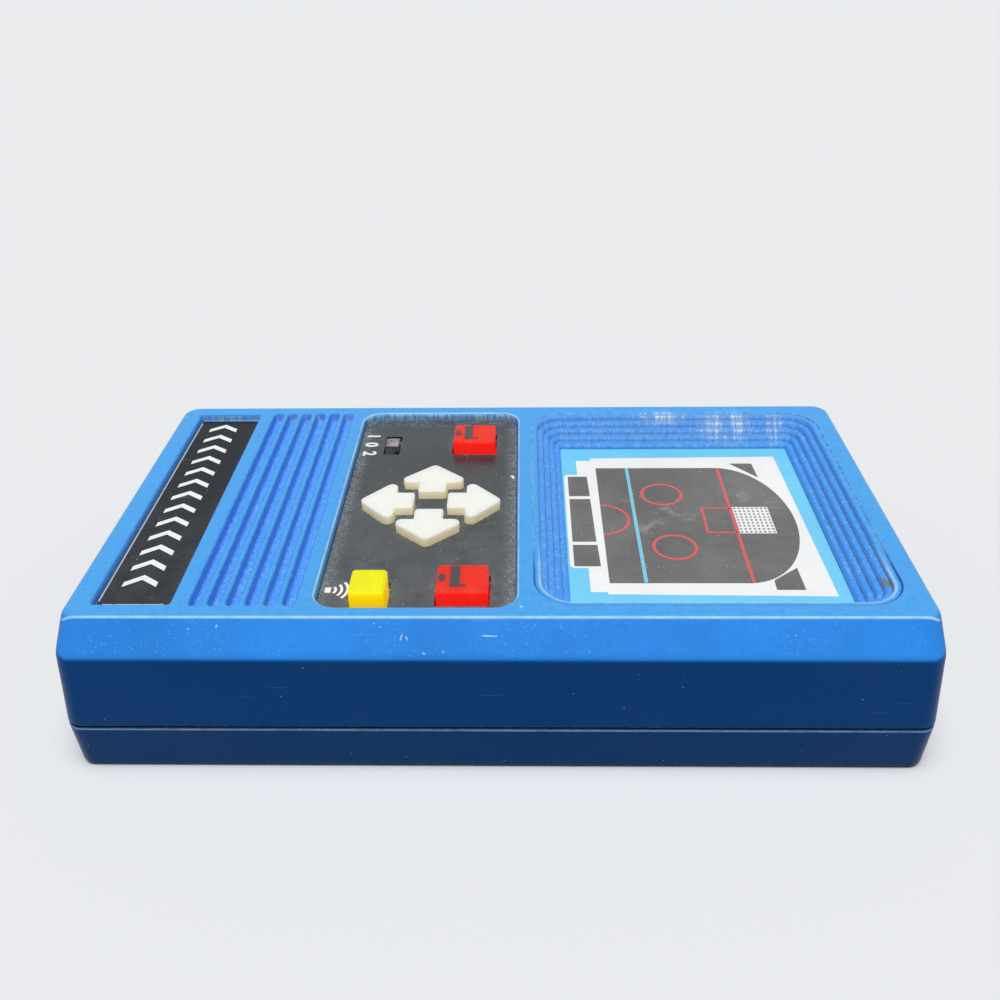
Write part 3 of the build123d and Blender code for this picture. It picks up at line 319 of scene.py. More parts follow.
# %% [markdown]
# ## Moulded plastic
# One function makes any of the game's plastics. It takes the colour and how glossy the mould left
# it, then adds a slow change of tone, a slight orange-peel bump, specks, scratches and worn edges,
# each with its own strength. The case, plates, keys and knob differ only in these numbers and in the
# masks that they hand in, each with a colour that is laid under or over the wear.

# %% Plastic
def new_material(name):
    """A material with nodes, and its shader."""
    material = bpy.data.materials.new(name)
    material.use_nodes = True
    return material, material.node_tree.nodes["Principled BSDF"]


def plastic(name, colour, gloss_roughness, speck_colour=(0.8, 0.85, 0.9), speck_share=0.02,
            scratch_strength=0.3, wear_colour=None, wear_strength=0.5, grain=0.0, tone=0.1,
            gloss_level=0.5, dust=0.0, extra=(), on_top=(), depth=0.0, tint=(1.0, 1.0, 1.0),
            soft_edge=0.0, wear_reach=0.25, flank_glow=0.0, glow_colour=(1.0, 1.0, 1.0)):
    """A moulded plastic. Extra holds functions that give a mask, each with the colour it lays on, and
    on top holds more of them, which are laid over the wear. Depth is how far light travels under the
    skin in mm, and tint how far each colour of it does. Soft edge is the radius in mm by which every
    edge is shaded as rounded. Flank glow is a weak emission on upright faces, for the light that
    spreads through a key from its sunlit top."""
    material, shader = new_material(name)
    shader.inputs["IOR"].default_value = 1.5
    shader.inputs["Specular IOR Level"].default_value = gloss_level
    if depth > 0:
        shader.inputs["Subsurface Weight"].default_value = 1.0
        shader.inputs["Subsurface Scale"].default_value = depth * mm
        shader.inputs["Subsurface Radius"].default_value = tint
    darker = tuple(value * (1 - tone) for value in colour)
    lighter = tuple(min(value * (1 + tone), 0.97) for value in colour)
    cloudy = mask(material, noise(material, 45.0, 9.0, 0.7), 0.3, 0.7)
    tinted = blend_colour(material, cloudy, darker, lighter)
    tinted = lay_over(material, tinted, extra)
    pale = wear_colour or tuple(value + (0.9 - value) * 0.45 for value in colour)
    lines = strongest(material, (
        scratches(material, (0.0, 0.0, 0.35), 620.0, 0.07, 0.5),
        scratches(material, (0.2, 0.1, 2.3), 560.0, 0.06, 0.45),
        scratches(material, (0.1, 0.3, 1.4), 420.0, 0.05, 0.4, 0.025),
    ))
    scratched = product(material, lines, scratch_strength)
    tinted = blend_colour(material, scratched, tinted, pale)
    rubbed = product(material, worn_edges(material, wear_reach * mm), wear_strength)
    tinted = blend_colour(material, rubbed, tinted, pale)
    marks = [scratched, specks(material, 1000.0, 0.13, speck_share)]
    if dust > 0:
        marks.append(corner_dust(material, 2.2 * mm, dust))
    for spot_mask in marks[1:]:
        tinted = blend_colour(material, spot_mask, tinted, speck_colour)
    tinted = lay_over(material, tinted, on_top)
    smudges = mask(material, noise(material, 70.0, 4.0, 0.6), 0.3, 0.7,
                   gloss_roughness * 0.85, gloss_roughness * 1.2)
    rough = calculate(material, "ADD", smudges, strongest(material, marks))
    rough = calculate(material, "MINIMUM", rough, 0.8)
    height = product(material, noise(material, 1500.0, 2.0), 0.15 + grain)
    height = calculate(material, "SUBTRACT", height, product(material, lines, 0.4))
    rounded = rounded_normal(material, soft_edge * mm) if soft_edge > 0 else None
    link_finish(material, shader, tinted, rough, height, 0.12 + grain, 0.05 * mm, rounded)
    if flank_glow > 0:
        shader.inputs["Emission Color"].default_value = (*glow_colour, 1.0)
        glow = mask(material, turned(material, "Z"), 0.9, 0.3, 0.0, flank_glow)
        material.node_tree.links.new(glow, shader.inputs["Emission Strength"])
    return material


def cover(material, *nodes):
    """Gives CAD nodes a finish by their own material slots."""
    for node in nodes:
        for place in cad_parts[node].material_slots:
            place.material = material


def node_box(node):
    """The low and high corners of a node in mm."""
    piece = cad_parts[node]
    corners = [piece.matrix_world @ Vector(corner) for corner in piece.bound_box]
    low = [min(corner[axis] for corner in corners) / mm for axis in range(3)]
    high = [max(corner[axis] for corner in corners) / mm for axis in range(3)]
    return low, high


print("plastic ready")

# %% [markdown]
# ## The blue case
# The faces that look up are painted a paler blue and the outer walls the deepest blue: painted light
# and shade on one plastic, so masks for the way a face looks and for its height lay one blue over
# another. The stairs of the display well and the floors of the grooves are out of reach of a wiping
# thumb: they keep a speckled, slightly purple dust. The upright faces in the recesses are painted paler
# as lit, and pale streaks and three sparkling clusters on the far stairs are painted highlights. The
# rims, the near edge of the top and the upper edge of the tray carry thin bright lines, partly rubbed
# wear and partly painted highlights, and a dark band painted along the parting line is painted shadow
# in the seam. Nicks, rubbed dots and a little dirt sit at the places where the photographed piece has
# them.

# %% Case plastic
slope_blue = (0.03, 0.28, 0.88)
# Painted light and shade: a paler blue for the faces that look up, the deepest blue for the outer walls.
lit_top_blue = (0.08, 0.383, 0.84)
shaded_wall_blue = (0.001, 0.094, 0.36)
# Painted light: the paler blue of the upright faces in the recesses.
lit_recess_blue = (0.14, 0.46, 0.96)
case_pale = (0.42, 0.7, 0.92)
top_height = node_box("upper_shell")[1][2]
slope_foot = 22.5
recess_half, recess_half_long = 36.0, 67.0
top_half = 36.45
parting_height = 9.15


def recess_depth(material):
    """1 in the recesses: below the top face, no deeper than the window, and inside the walls."""
    below = between(material, "Z", top_height - 0.2, top_height - 0.5)
    above = between(material, "Z", top_height - 6.5, top_height - 6.0)
    inner = [mask(material, off_middle(material, axis), half * mm, (half - 0.4) * mm)
             for axis, half in (("X", recess_half_long), ("Y", recess_half))]
    return product(material, below, above, *inner)


def painted_lit_tops(material):
    """The outer faces that look up, painted paler than the walls as painted light from above."""
    upward = mask(material, turned(material, "Z"), 0.75, 0.98)
    outside = between(material, "Z", parting_height, parting_height + 5.0)
    return product(material, upward, outside)


def upright(material):
    """1 on faces that stand upright."""
    return mask(material, turned(material, "Z"), 0.6, 0.3)


def level(material):
    """1 on faces that look straight up."""
    return mask(material, turned(material, "Z"), 0.85, 0.97)


def painted_shade_walls(material):
    """The outer walls in painted shade: below the slope on the long sides, and the whole height at the
    ends.
    """
    low = between(material, "Z", slope_foot + 0.2, slope_foot - 0.4)
    ends = mask(material, off_middle(material, "X"), recess_half_long * mm,
                (recess_half_long + 0.5) * mm)
    return product(material, upright(material), calculate(material, "MAXIMUM", low, ends))


def fine_specks(material):
    """Very small rubbed dots, in drifts, on the faces that look up and on the slopes."""
    upward = mask(material, turned(material, "Z"), 0.55, 0.68)
    drifts = mask(material, noise(material, 70.0, 3.0), 0.35, 0.65, 0.15, 1.0)
    return product(material, upward, drifts, specks(material, 2300.0, 0.32, 0.22))


def painted_lit_recess_walls(material):
    """The upright faces inside the recesses, made paler by painted light."""
    return product(material, upright(material), recess_depth(material))


def recess_floors(material):
    """Dusty speckles on the level faces in the recesses."""
    grains = mask(material, noise(material, 1700.0, 4.0, 0.85), 0.42, 0.58, 0.05, 1.0)
    return product(material, recess_depth(material), level(material), grains)


def recess_grit(material):
    """Pale grains that lie on the floors and stairs of the recesses."""
    grit = specks(material, 1500.0, 0.36, 0.5)
    return product(material, recess_depth(material), level(material), grit)


def far_highlight_streaks(material):
    """Painted highlights: fine pale streaks on the walls that face the player, thin in the well and thick
    elsewhere.
    """
    facing = mask(material, turned(material, "Y"), -0.25, -0.6)
    share = between(material, "X", 6.0, 10.0, 1.0, 0.35)
    drawn = noise(material, 1900.0, 3.0, 0.7, stretched(material, (1.0, 0.2, 0.2)))
    streaks = mask(material, drawn, 0.42, 0.62, 0.0, 0.9)
    return product(material, recess_depth(material), facing, streaks, share)


def painted_glints(material):
    """Painted highlights: sparkling clusters of pale dots on the far stairs of the well."""
    clusters = marks_at(material, (
        ((46.8, 31.5, 24.6), 5.0, (1.3, 1.0, 1.0)),
        ((57.0, 31.0, 24.6), 5.0, (0.45, 1.0, 1.0)),
        ((33.5, 33.0, 26.0), 2.4, (2.4, 1.0, 1.0)),
    ))
    drawn = noise(material, 1100.0, 4.0, 0.8, stretched(material, (1.0, 0.05, 0.05)))
    columns = mask(material, drawn, 0.44, 0.56, 0.1, 1.0)
    noses = mask(material, turned(material, "Z"), 0.999, 0.9, 0.25, 1.0)
    return product(material, clusters, columns, noses)


def rim_line(centre_x, half_x, half_y, corner, inwards, line, only_near=False):
    """A function that gives a mask for a line round a rounded rectangle on the top face, in mm.
    Only near keeps just its side towards the player, with the two corners there."""
    def line_mask(material):
        reach = []
        for axis, middle, half in (("X", centre_x, half_x), ("Y", 0.0, half_y)):
            away = off_middle(material, axis, middle)
            over = calculate(material, "SUBTRACT", away, (half - corner) * mm)
            over = calculate(material, "MAXIMUM", over, 0.0)
            reach.append(product(material, over, over))
        outside = calculate(material, "SQRT", calculate(material, "ADD", *reach), 0.0)
        off_line = calculate(material, "SUBTRACT", outside, (corner - inwards) * mm)
        off_line = calculate(material, "ABSOLUTE", off_line, 0.0)
        near = mask(material, off_line, line * mm, line * 0.3 * mm)
        upper = between(material, "Z", top_height - 1.0, top_height - 0.6)
        near = product(material, near, upper)
        if only_near:
            side = between(material, "Y", 3.0 - half_y / 2, 6.0 - half_y)
            near = product(material, near, side)
        return near
    return line_mask


top_rim = (0.0, 69.0, top_half, 1.0)
well_rim = (35.6, 29.6, 33.35, 6.6)
keypad_rim = (-13.15, 16.2, 33.65, 3.6)


def level_line(height, reach, strength):
    """A function that gives a mask for a level line round the case, in mm."""
    def line_mask(material):
        away = off_middle(material, "Z", height)
        return mask(material, away, reach * mm, reach / 2 * mm, 0.0, strength)
    return line_mask


def worn_and_highlit_edges(material):
    """Pale lines along the near edge of the top, the rims, and the parting line: partly rubbed wear,
    partly painted highlights.
    """
    lines = strongest(material, (
        rim_line(*top_rim, 0.0, 0.3, True)(material),
        level_line(parting_height - 0.62, 0.2, 0.6)(material),
        rim_line(*well_rim, 0.95, 0.4, True)(material),
        rim_line(*keypad_rim, -0.3, 0.22)(material),
    ))
    broken = mask(material, noise(material, 220.0, 3.0, 0.6), 0.3, 0.6, 0.6, 1.0)
    return product(material, lines, broken)


def white_nicks(material):
    """Pale nicks and rubbed lines on the near edge and slope."""
    return marks_at(material, (
        ((3.9, -33.9, 27.2), 0.32),
        ((-57.0, -39.4, 25.0), 0.2),
        ((-43.6, -37.5, 26.1), 0.28, (1.0, 1.0, 1.2)),
        ((-48.0, -37.8, 25.8), 0.18),
        ((-14.7, -38.7, 25.0), 0.13, (1.0, 7.0, 7.0), -0.4),
        ((-13.9, -38.8, 24.8), 0.12, (1.0, 4.0, 4.0), 0.5),
        ((-11.3, -40.4, 23.2), 0.11, (4.0, 1.4, 1.6), -0.5),
        ((-8.2, -40.3, 23.4), 0.18),
        ((-1.0, -38.6, 25.1), 0.13, (19.0, 1.2, 1.2), -0.05),
    ))


def dark_dirt(material):
    """Dirt in the ledge's near right corner, and a dark nick on the parting edge."""
    return marks_at(material, (
        ((63.4, -25.8, 26.2), 1.5, (0.7, 1.3, 1.0), 0.3),
        ((25.3, -42.1, 9.3), 0.5, (1.6, 1.0, 0.8)),
    ))


# The strong pale edge wear is partly rubbed wear and partly a painted highlight on the rounded edges.
case_material = plastic(
    "case_blue", slope_blue, 0.3, (0.6, 0.75, 0.9), 0.05, 0.12, case_pale, 0.9, tone=0.1, dust=0.25,
    gloss_level=0.12, soft_edge=0.7, wear_reach=0.45,
    extra=(
        # painted light: the faces that look up are paler
        (painted_lit_tops, lit_top_blue),
        (patches(800.0, 0.4, 0.75, 0.35), (0.03, 0.25, 0.7)),
        # painted shade: the outer walls are deepest blue
        (painted_shade_walls, shaded_wall_blue),
        (fine_specks, (0.15, 0.5, 0.95)),
        # painted light on the upright faces in the recesses
        (painted_lit_recess_walls, lit_recess_blue),
        (recess_floors, (0.06, 0.265, 0.82)),
        (recess_grit, (0.26, 0.5, 0.93)),
        # painted highlights on the walls that face the player
        (far_highlight_streaks, (0.55, 0.8, 0.92)),
        # painted highlights: glints on the far stairs
        (painted_glints, (0.85, 0.92, 0.95)),
        (white_nicks, (0.42, 0.76, 0.95)),
        (dark_dirt, (0.16, 0.22, 0.22)),
    ),
    on_top=(
        # Painted shadow: a dark line in the step of the ledge along the near rim of the well.
        (rim_line(*well_rim, 0.0, 0.28, True), (0.005, 0.13, 0.48)),
        # Painted shadow: a dark band along the parting line that widens the shade of the seam.
        (level_line(parting_height - 0.22, 0.28, 0.85), (0.0, 0.03, 0.12)),
        # partly rubbed wear, partly painted highlights where rounded edges catch the light
        (worn_and_highlit_edges, (0.4, 0.7, 0.95)),
    ),
)
cover(case_material, "upper_shell", "lower_shell", "battery_door")
print("case covered")

# %% [markdown]
# ## Plates, keys and knob
# The keypad plate is black plastic with a fine grain that gathers dust along its border and a haze
# towards the player. Light travels under the skin of the keys, so their sides are nearly as bright as
# their tops: subsurface scattering does most of that, and a weak glow on upright faces does the rest.
# The yellow button is painted orange low down and the cream keys a deeper cream, a painted shade on
# their lower sides, and the knob of the switch has soft patches of pinkish grey.

# %% Plates and keys
plate_low, plate_corner = node_box("keypad_plate")
plate_top = plate_corner[2]


def border_dust(material):
    """Grains of dust along the left, right and far border of the keypad plate."""
    across, away = placed(material, "X"), placed(material, "Y")
    from_left = calculate(material, "SUBTRACT", across, plate_low[0] * mm)
    from_right = calculate(material, "SUBTRACT", plate_corner[0] * mm, across)
    from_far = calculate(material, "SUBTRACT", plate_corner[1] * mm, away)
    from_far = product(material, from_far, 0.65)
    nearest = calculate(material, "MINIMUM", from_left, from_right)
    nearest = calculate(material, "MINIMUM", nearest, from_far)
    band = mask(material, nearest, 3.0 * mm, 0.5 * mm)
    grains = mask(material, noise(material, 2400.0, 4.0, 0.8), 0.45, 0.62, 0.0, 0.85)
    drifts = mask(material, noise(material, 110.0, 3.0), 0.35, 0.6, 0.6, 1.0)
    return product(material, band, grains, drifts)


def plate_fleck(material):
    """A white fleck at the right border of the keypad."""
    return mark_at(material, (2.2, 9.3, plate_top), 0.7, (0.6, 1.2, 1.0), 0.3)


def near_haze(high_y, low_y, strength):
    """A function that gives a haze of fine dust, thicker towards the player."""
    def haze_mask(material):
        slope = between(material, "Y", high_y, low_y, 0.0, strength)
        clouds = mask(material, noise(material, 260.0, 4.0, 0.7), 0.3, 0.7, 0.4, 1.0)
        return product(material, slope, clouds)
    return haze_mask


plate_material = plastic(
    "plate_black", (0.024, 0.031, 0.037), 0.3, (0.4, 0.44, 0.48), 0.2, 0.35, (0.3, 0.32, 0.34), 0.5,
    tone=0.3, grain=0.06, dust=0.7, extra=(
        (near_haze(24.0, -24.0, 0.9), (0.08, 0.09, 0.096)),
        (border_dust, (0.27, 0.3, 0.33)),
        (plate_fleck, (0.9, 0.9, 0.9)),
    ),
)
label_material = plastic(
    "label_black", (0.008, 0.012, 0.017), 0.24, (0.35, 0.38, 0.42), 0.05, 0.3, (0.5, 0.53, 0.55), 0.7,
    dust=0.3, gloss_level=0.1, extra=((near_haze(20.0, -30.0, 0.9), (0.05, 0.055, 0.06)),),
)
cover(plate_material, "keypad_plate")
cover(label_material, "name_plate")


def shaded_low_flanks(low, high):
    """A function that gives a mask for the part of a key below a height, in mm, for a painted shade."""
    def flank_mask(material):
        return between(material, "Z", high, low)
    return flank_mask


key_top = node_box("action_button_far")[1][2]
cream_material = plastic(
    "key_cream", (0.92, 0.91, 0.83), 0.28, (0.5, 0.45, 0.36), 0.03, 0.3, (0.92, 0.91, 0.86), 0.4,
    tone=0.02, depth=1.6, tint=(1.0, 0.85, 0.6), gloss_level=0.15, flank_glow=0.2,
    glow_colour=(1.0, 0.82, 0.4), extra=(
        # painted shade: the lower sides of the key a deeper cream
        (shaded_low_flanks(plate_top - 0.5, plate_top + 1.2), (0.92, 0.85, 0.6)),
        (patches(160.0, 0.56, 0.72, 0.2), (0.82, 0.79, 0.68)),
    ),
)
cover(cream_material, "arrow_key_right", "arrow_key_far", "arrow_key_left", "arrow_key_near")
red_material = plastic(
    "button_red", (0.96, 0.03, 0.014), 0.38, (0.92, 0.4, 0.32), 0.05, 0.3, (0.95, 0.36, 0.28), 0.8,
    gloss_level=0.1, depth=1.8, tint=(1.0, 0.25, 0.15), flank_glow=0.55, glow_colour=(1.0, 0.012, 0.01),
    extra=(
        (patches(260.0, 0.5, 0.75, 0.4), (0.97, 0.11, 0.03)),
    ),
)
cover(red_material, "action_button_far", "action_button_near")
yellow_material = plastic(
    "button_yellow", (0.97, 0.88, 0.008), 0.3, (0.6, 0.42, 0.12), 0.04, 0.3, (0.95, 0.88, 0.3), 0.6,
    gloss_level=0.1, depth=1.6, tint=(1.0, 0.75, 0.1), flank_glow=0.58, glow_colour=(1.0, 0.6, 0.003),
    # painted shade: the lower sides of the button orange
    extra=((shaded_low_flanks(plate_top - 0.2, plate_top + 2.6), (0.95, 0.6, 0.006)),),
)
cover(yellow_material, "sound_button")
knob_material = plastic(
    "knob_black", (0.02, 0.02, 0.023), 0.35, (0.6, 0.5, 0.5), 0.1, 0.4, (0.45, 0.36, 0.37), 0.9,
    extra=((patches(420.0, 0.35, 0.6, 0.75), (0.42, 0.39, 0.41)),), dust=0.3,
)
cover(knob_material, "switch_knob")
print("plates, keys and knob covered")

# %% [markdown]
# ## The window's plastic
# The window is one dark moulding. Held to the light it is smoky, but over the dark board it reads as
# a warm grey, so its colour is written as that grey. It is glossier than the case, with specks and
# hair scratches.

# %% Window plastic
smoke = (0.125, 0.122, 0.118)


def smears(material):
    """Greasy smears near the middle of the field, with clusters of dust grains."""
    marks = marks_at(material, (
        ((27.5, -3.0, 21.8), 5.0, (1.0, 0.5, 1.0), 0.6),
        ((33.0, 2.0, 21.8), 5.5, (1.2, 0.5, 1.0), -0.4),
        ((47.0, 8.0, 21.8), 4.0, (1.0, 0.5, 1.0), 0.9),
    ))
    cloudy = mask(material, noise(material, 420.0, 5.0, 0.7), 0.42, 0.75, 0.0, 0.8)
    return product(material, marks, cloudy)


window_material = plastic(
    "window_dark", smoke, 0.16, (0.5, 0.5, 0.48), 0.35, 0.5, (0.4, 0.4, 0.4), 0.2, tone=0.3,
    extra=(
        (patches(120.0, 0.5, 0.7, 0.3), (0.16, 0.156, 0.15)),
        (smears, (0.33, 0.31, 0.31)),
    ),
)
cover(window_material, "display_window")
print("window covered")

# %% [markdown]
# ## Everything inside
# The inner parts show when the battery door slides out or when the piece is taken apart. Metals get a
# brushed direction and tarnish, rubber and foam a fine bump, and the board a paper-like fibre.

# %% Metal, rubber, foam and board
def metal(name, colour, roughness, brush=(1.0, 18.0, 1.0), tarnish=(0.2, 0.17, 0.14), tarnish_share=0.35):
    """A metal with a brushed direction, tarnished patches and scratches."""
    material, shader = new_material(name)
    shader.inputs["Metallic"].default_value = 1.0
    brushed = noise(material, 600.0, 3.0, 0.6, stretched(material, brush))
    stain = mask(material, noise(material, 240.0, 4.0, 0.65), 0.5, 0.8, 0.0, tarnish_share)
    scratched = scratches(material, (0.1, 0.2, 0.8), 900.0, 0.07, 0.5)
    tinted = blend_colour(material, stain, colour, tarnish)
    bright = tuple(min(value * 1.15, 0.95) for value in colour)
    tinted = blend_colour(material, worn_edges(material, 0.12 * mm), tinted, bright)
    rough = mask(material, brushed, 0.2, 0.8, roughness * 0.7, roughness * 1.3)
    rough = calculate(material, "ADD", rough, product(material, stain, 0.4))
    height = calculate(material, "SUBTRACT", brushed, scratched)
    link_finish(material, shader, tinted, rough, height, 0.15, 0.03 * mm)
    return material


def soft_stuff(name, colour, pore_cells, pore_depth, roughness, stain=(0.1, 0.1, 0.1)):
    """Rubber, foam or felt: a matt stuff with pores, stains and dust."""
    material, shader = new_material(name)
    cells = add_node(material, "ShaderNodeTexVoronoi", {"Scale": pore_cells},
                     {"Vector": object_place(material)})
    pores = mask(material, cells.outputs["Distance"], 0.15, 0.65)
    tinted = blend_colour(material, pores, tuple(value * 0.6 for value in colour), colour)
    stained = mask(material, noise(material, 130.0, 4.0), 0.5, 0.8, 0.0, 0.4)
    tinted = blend_colour(material, stained, tinted, stain)
    tinted = blend_colour(material, corner_dust(material, 1.5 * mm, 0.5), tinted, (0.45, 0.44, 0.42))
    tinted = blend_colour(material, specks(material, 900.0, 0.14, 0.08), tinted, (0.6, 0.6, 0.58))
    rough = mask(material, noise(material, 300.0), 0.3, 0.7, roughness * 0.9, roughness)
    link_finish(material, shader, tinted, rough, pores, 0.5, pore_depth)
    return material


def board_stuff(name, colour, fibre_colour):
    """Brown laminate with crossing paper fibres, flux stains and tinned spots."""
    material, shader = new_material(name)
    fibres = [noise(material, 1400.0, 3.0, 0.6, stretched(material, (0.12, 1.0, 1.0), (0.0, 0.0, turn)))
              for turn in (0.0, 1.57)]
    woven = product(material, *fibres)
    tinted = blend_colour(material, mask(material, woven, 0.15, 0.4), colour, fibre_colour)
    flux = mask(material, noise(material, 90.0, 4.0, 0.7), 0.52, 0.66, 0.0, 0.55)
    tinted = blend_colour(material, flux, tinted, tuple(value * 0.55 for value in colour))
    tin = specks(material, 260.0, 0.2, 0.35)
    tinted = blend_colour(material, tin, tinted, (0.6, 0.61, 0.6))
    rough = calculate(material, "SUBTRACT", 0.55, product(material, flux, 0.5))
    height = calculate(material, "ADD", woven, tin)
    link_finish(material, shader, tinted, rough, height, 0.3, 0.04 * mm)
    return material


print("metals and soft stuffs ready")

# %% [markdown]
# ## One finish for each slot inside
# The frame's slots carry the names of their stuffs. A finish is made for each name and put in every
# slot that asks for it. Blender adds a dot and a number to a name in use, so that part is dropped.

# %% Inside finishes
inner_finishes = [
    metal("bare_steel", (0.62, 0.61, 0.58), 0.32),
    metal("disc_brass", (0.72, 0.5, 0.2), 0.28, (1.0, 14.0, 1.0), (0.28, 0.15, 0.06)),
    metal("snap_nickel", (0.66, 0.64, 0.6), 0.22, (1.0, 1.0, 12.0)),
    metal("screw_steel", (0.5, 0.5, 0.49), 0.3, (1.0, 1.0, 20.0), (0.24, 0.13, 0.06)),
    soft_stuff("mat_rubber", (0.1, 0.1, 0.105), 2400.0, 0.03 * mm, 0.75),
    soft_stuff("foam_grey", (0.16, 0.16, 0.17), 1100.0, 0.25 * mm, 0.95),
    board_stuff("board_brown", (0.3, 0.15, 0.05), (0.42, 0.25, 0.1)),
    plastic("crystal_white", (0.74, 0.71, 0.64), 0.5, (0.4, 0.36, 0.3), 0.06, 0.4, grain=0.2),
    plastic("block_white", (0.82, 0.82, 0.79), 0.45, (0.4, 0.4, 0.38), 0.05, dust=0.3),
    plastic("light_red", (0.42, 0.01, 0.01), 0.12, (0.8, 0.3, 0.25), 0.03, 0.15),
    plastic("digit_dark", (0.03, 0.014, 0.014), 0.15, (0.4, 0.3, 0.3), 0.08),
    plastic("chip_black", (0.025, 0.025, 0.026), 0.55, (0.35, 0.35, 0.34), 0.08, grain=0.25),
    plastic("can_blue", (0.03, 0.08, 0.3), 0.25, (0.5, 0.55, 0.6), 0.05),
    plastic("resistor_tan", (0.6, 0.42, 0.24), 0.4, (0.3, 0.18, 0.1), 0.1),
    plastic("switch_black", (0.03, 0.03, 0.032), 0.4, (0.4, 0.4, 0.4), 0.08, dust=0.5),
    plastic("clip_black", (0.02, 0.02, 0.022), 0.5, (0.4, 0.4, 0.38), 0.1, grain=0.1, dust=0.4),
    plastic("wire_black", (0.018, 0.018, 0.02), 0.35, (0.4, 0.4, 0.4), 0.12),
    plastic("wire_red", (0.55, 0.015, 0.015), 0.35, (0.7, 0.35, 0.3), 0.12),
]
inside = {finish.name.split(".")[0]: finish for finish in inner_finishes}
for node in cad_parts.values():
    for place in node.material_slots:
        name = place.material.name
        if name in inside:
            place.material = inside[name]
print("inside covered")

# %% [markdown]
# ## The battery's jacket
# The battery is a dark painted can with a copper-coloured band at the snap end, as on many cells.

# %% Battery jacket
band_length = 11.0
band_start = node_box("battery")[1][1] - band_length


def copper_band(material):
    """The band at the snap end of the battery."""
    return between(material, "Y", band_start - 0.05, band_start + 0.05)


battery_material = plastic(
    "battery_can", (0.022, 0.024, 0.028), 0.22, (0.5, 0.5, 0.48), 0.06, 0.4, (0.5, 0.48, 0.45), 0.6,
    extra=((copper_band, (0.5, 0.2, 0.06)),),
)
cover(battery_material, "battery")
print("battery covered")

# %% [markdown]
# ## Prints
# The prints are panels a few hundredths of a millimetre thick. A panel starts as a filled circle with
# as many corners as its outline needs. Its corners are moved to the outline, and the face is
# thickened in edit mode. A ring is a filled circle inset by the width of its line. All outlines are
# in mm, and panels that lie on one another are stacked in layers.

# %% Panels, rings and copies
layer = 0.03


def thicken():
    """Makes the flat mesh that is being edited one layer thick, and gives the piece back."""
    bpy.ops.mesh.select_all(action="SELECT")
    bpy.ops.mesh.extrude_region_move(TRANSFORM_OT_translate={"value": (0, 0, layer * mm)})
    bpy.ops.object.mode_set(mode="OBJECT")
    return bpy.context.object


def flat_panel(outline, low):
    """A thin panel from its outline, with the height that it starts at."""
    start_clean()
    bpy.ops.mesh.primitive_circle_add(vertices=len(outline), radius=mm, fill_type="NGON")
    panel = bpy.context.object
    for corner, (x, y) in zip(panel.data.vertices, outline):
        corner.co = (x * mm, y * mm, low * mm)
    bpy.ops.object.mode_set(mode="EDIT")
    return thicken()


def rectangle(left, right, near, far):
    """The outline of a rectangle."""
    return [(left, near), (right, near), (right, far), (left, far)]


def arc(centre, reach_x, reach_y, start, stop, corners):
    """Points along an elliptical arc, with its angles in degrees."""
    points = []
    for index in range(corners + 1):
        angle = math.radians(start + (stop - start) * index / corners)
        points.append((centre[0] + reach_x * math.cos(angle), centre[1] + reach_y * math.sin(angle)))
    return points


def arc_band(centre, radius, line, start, stop, corners=20):
    """The outline of a curved line."""
    outer = arc(centre, radius, radius, start, stop, corners)
    inner = arc(centre, radius - line, radius - line, stop, start, corners)
    return outer + inner


def flat_ring(centre, radius, line, low, corners=56):
    """A thin ring: a filled circle, inset, with its middle taken out."""
    start_clean()
    bpy.ops.mesh.primitive_circle_add(vertices=corners, radius=radius * mm, fill_type="NGON",
                                      location=[value * mm for value in (*centre, low)])
    bpy.ops.object.mode_set(mode="EDIT")
    bpy.ops.mesh.select_mode(type="FACE")
    bpy.ops.mesh.select_all(action="SELECT")
    bpy.ops.mesh.inset(thickness=line * mm, depth=0)
    bpy.ops.mesh.delete(type="FACE")
    return thicken()


def copy_to(piece, shift):
    """A copy with its own mesh, moved by a shift in mm."""
    double = piece.copy()
    double.data = piece.data.copy()
    bpy.context.collection.objects.link(double)
    double.location = piece.location + Vector(shift) * mm
    return double


def printed(outlines, low, name, material, body=case):
    """Panels of one ink, which start at one height in mm, joined into one piece."""
    finish_piece([flat_panel(outline, low) for outline in outlines], name, material, body)


print("print helpers ready")

# %% [markdown]
# ## Inks
# An ink is the same plastic with less change of tone, and with patches where it has worn.

# %% Inks
def ink(name, colour, worn_to=None, wear=0.25, roughness=0.32, speck_share=0.08):
    """A printed ink: nearly flat colour with worn patches, specks and hair scratches."""
    worn_to = worn_to or tuple(value * 0.75 for value in colour)
    return plastic(name, colour, roughness, tuple(value * 0.6 for value in colour), speck_share, 0.3,
                   worn_to, 0.3, tone=0.05, extra=((patches(900.0, 0.62, 0.72, wear), worn_to),))


ink_cyan = ink("ink_cyan", (0.16, 0.6, 0.86), (0.3, 0.68, 0.86))
ink_white = ink("ink_white", (0.88, 0.88, 0.86), (0.7, 0.71, 0.7), 0.2)
ink_red = ink("ink_red", (0.66, 0.095, 0.1), (0.45, 0.12, 0.11), 0.5)
ink_blue = ink("ink_blue", (0.2, 0.58, 0.75), (0.3, 0.5, 0.6))
ink_grey = ink("ink_grey", (0.2, 0.21, 0.22))
print("inks ready")

# %% [markdown]
# ## The printed field on the window
# The field has a cyan border, a white surround and a dark rink with one round end. On the rink lie
# two cross lines, two rings, a half ring, a crease and a net. Three dark score windows stand in a
# white frame at its left end.

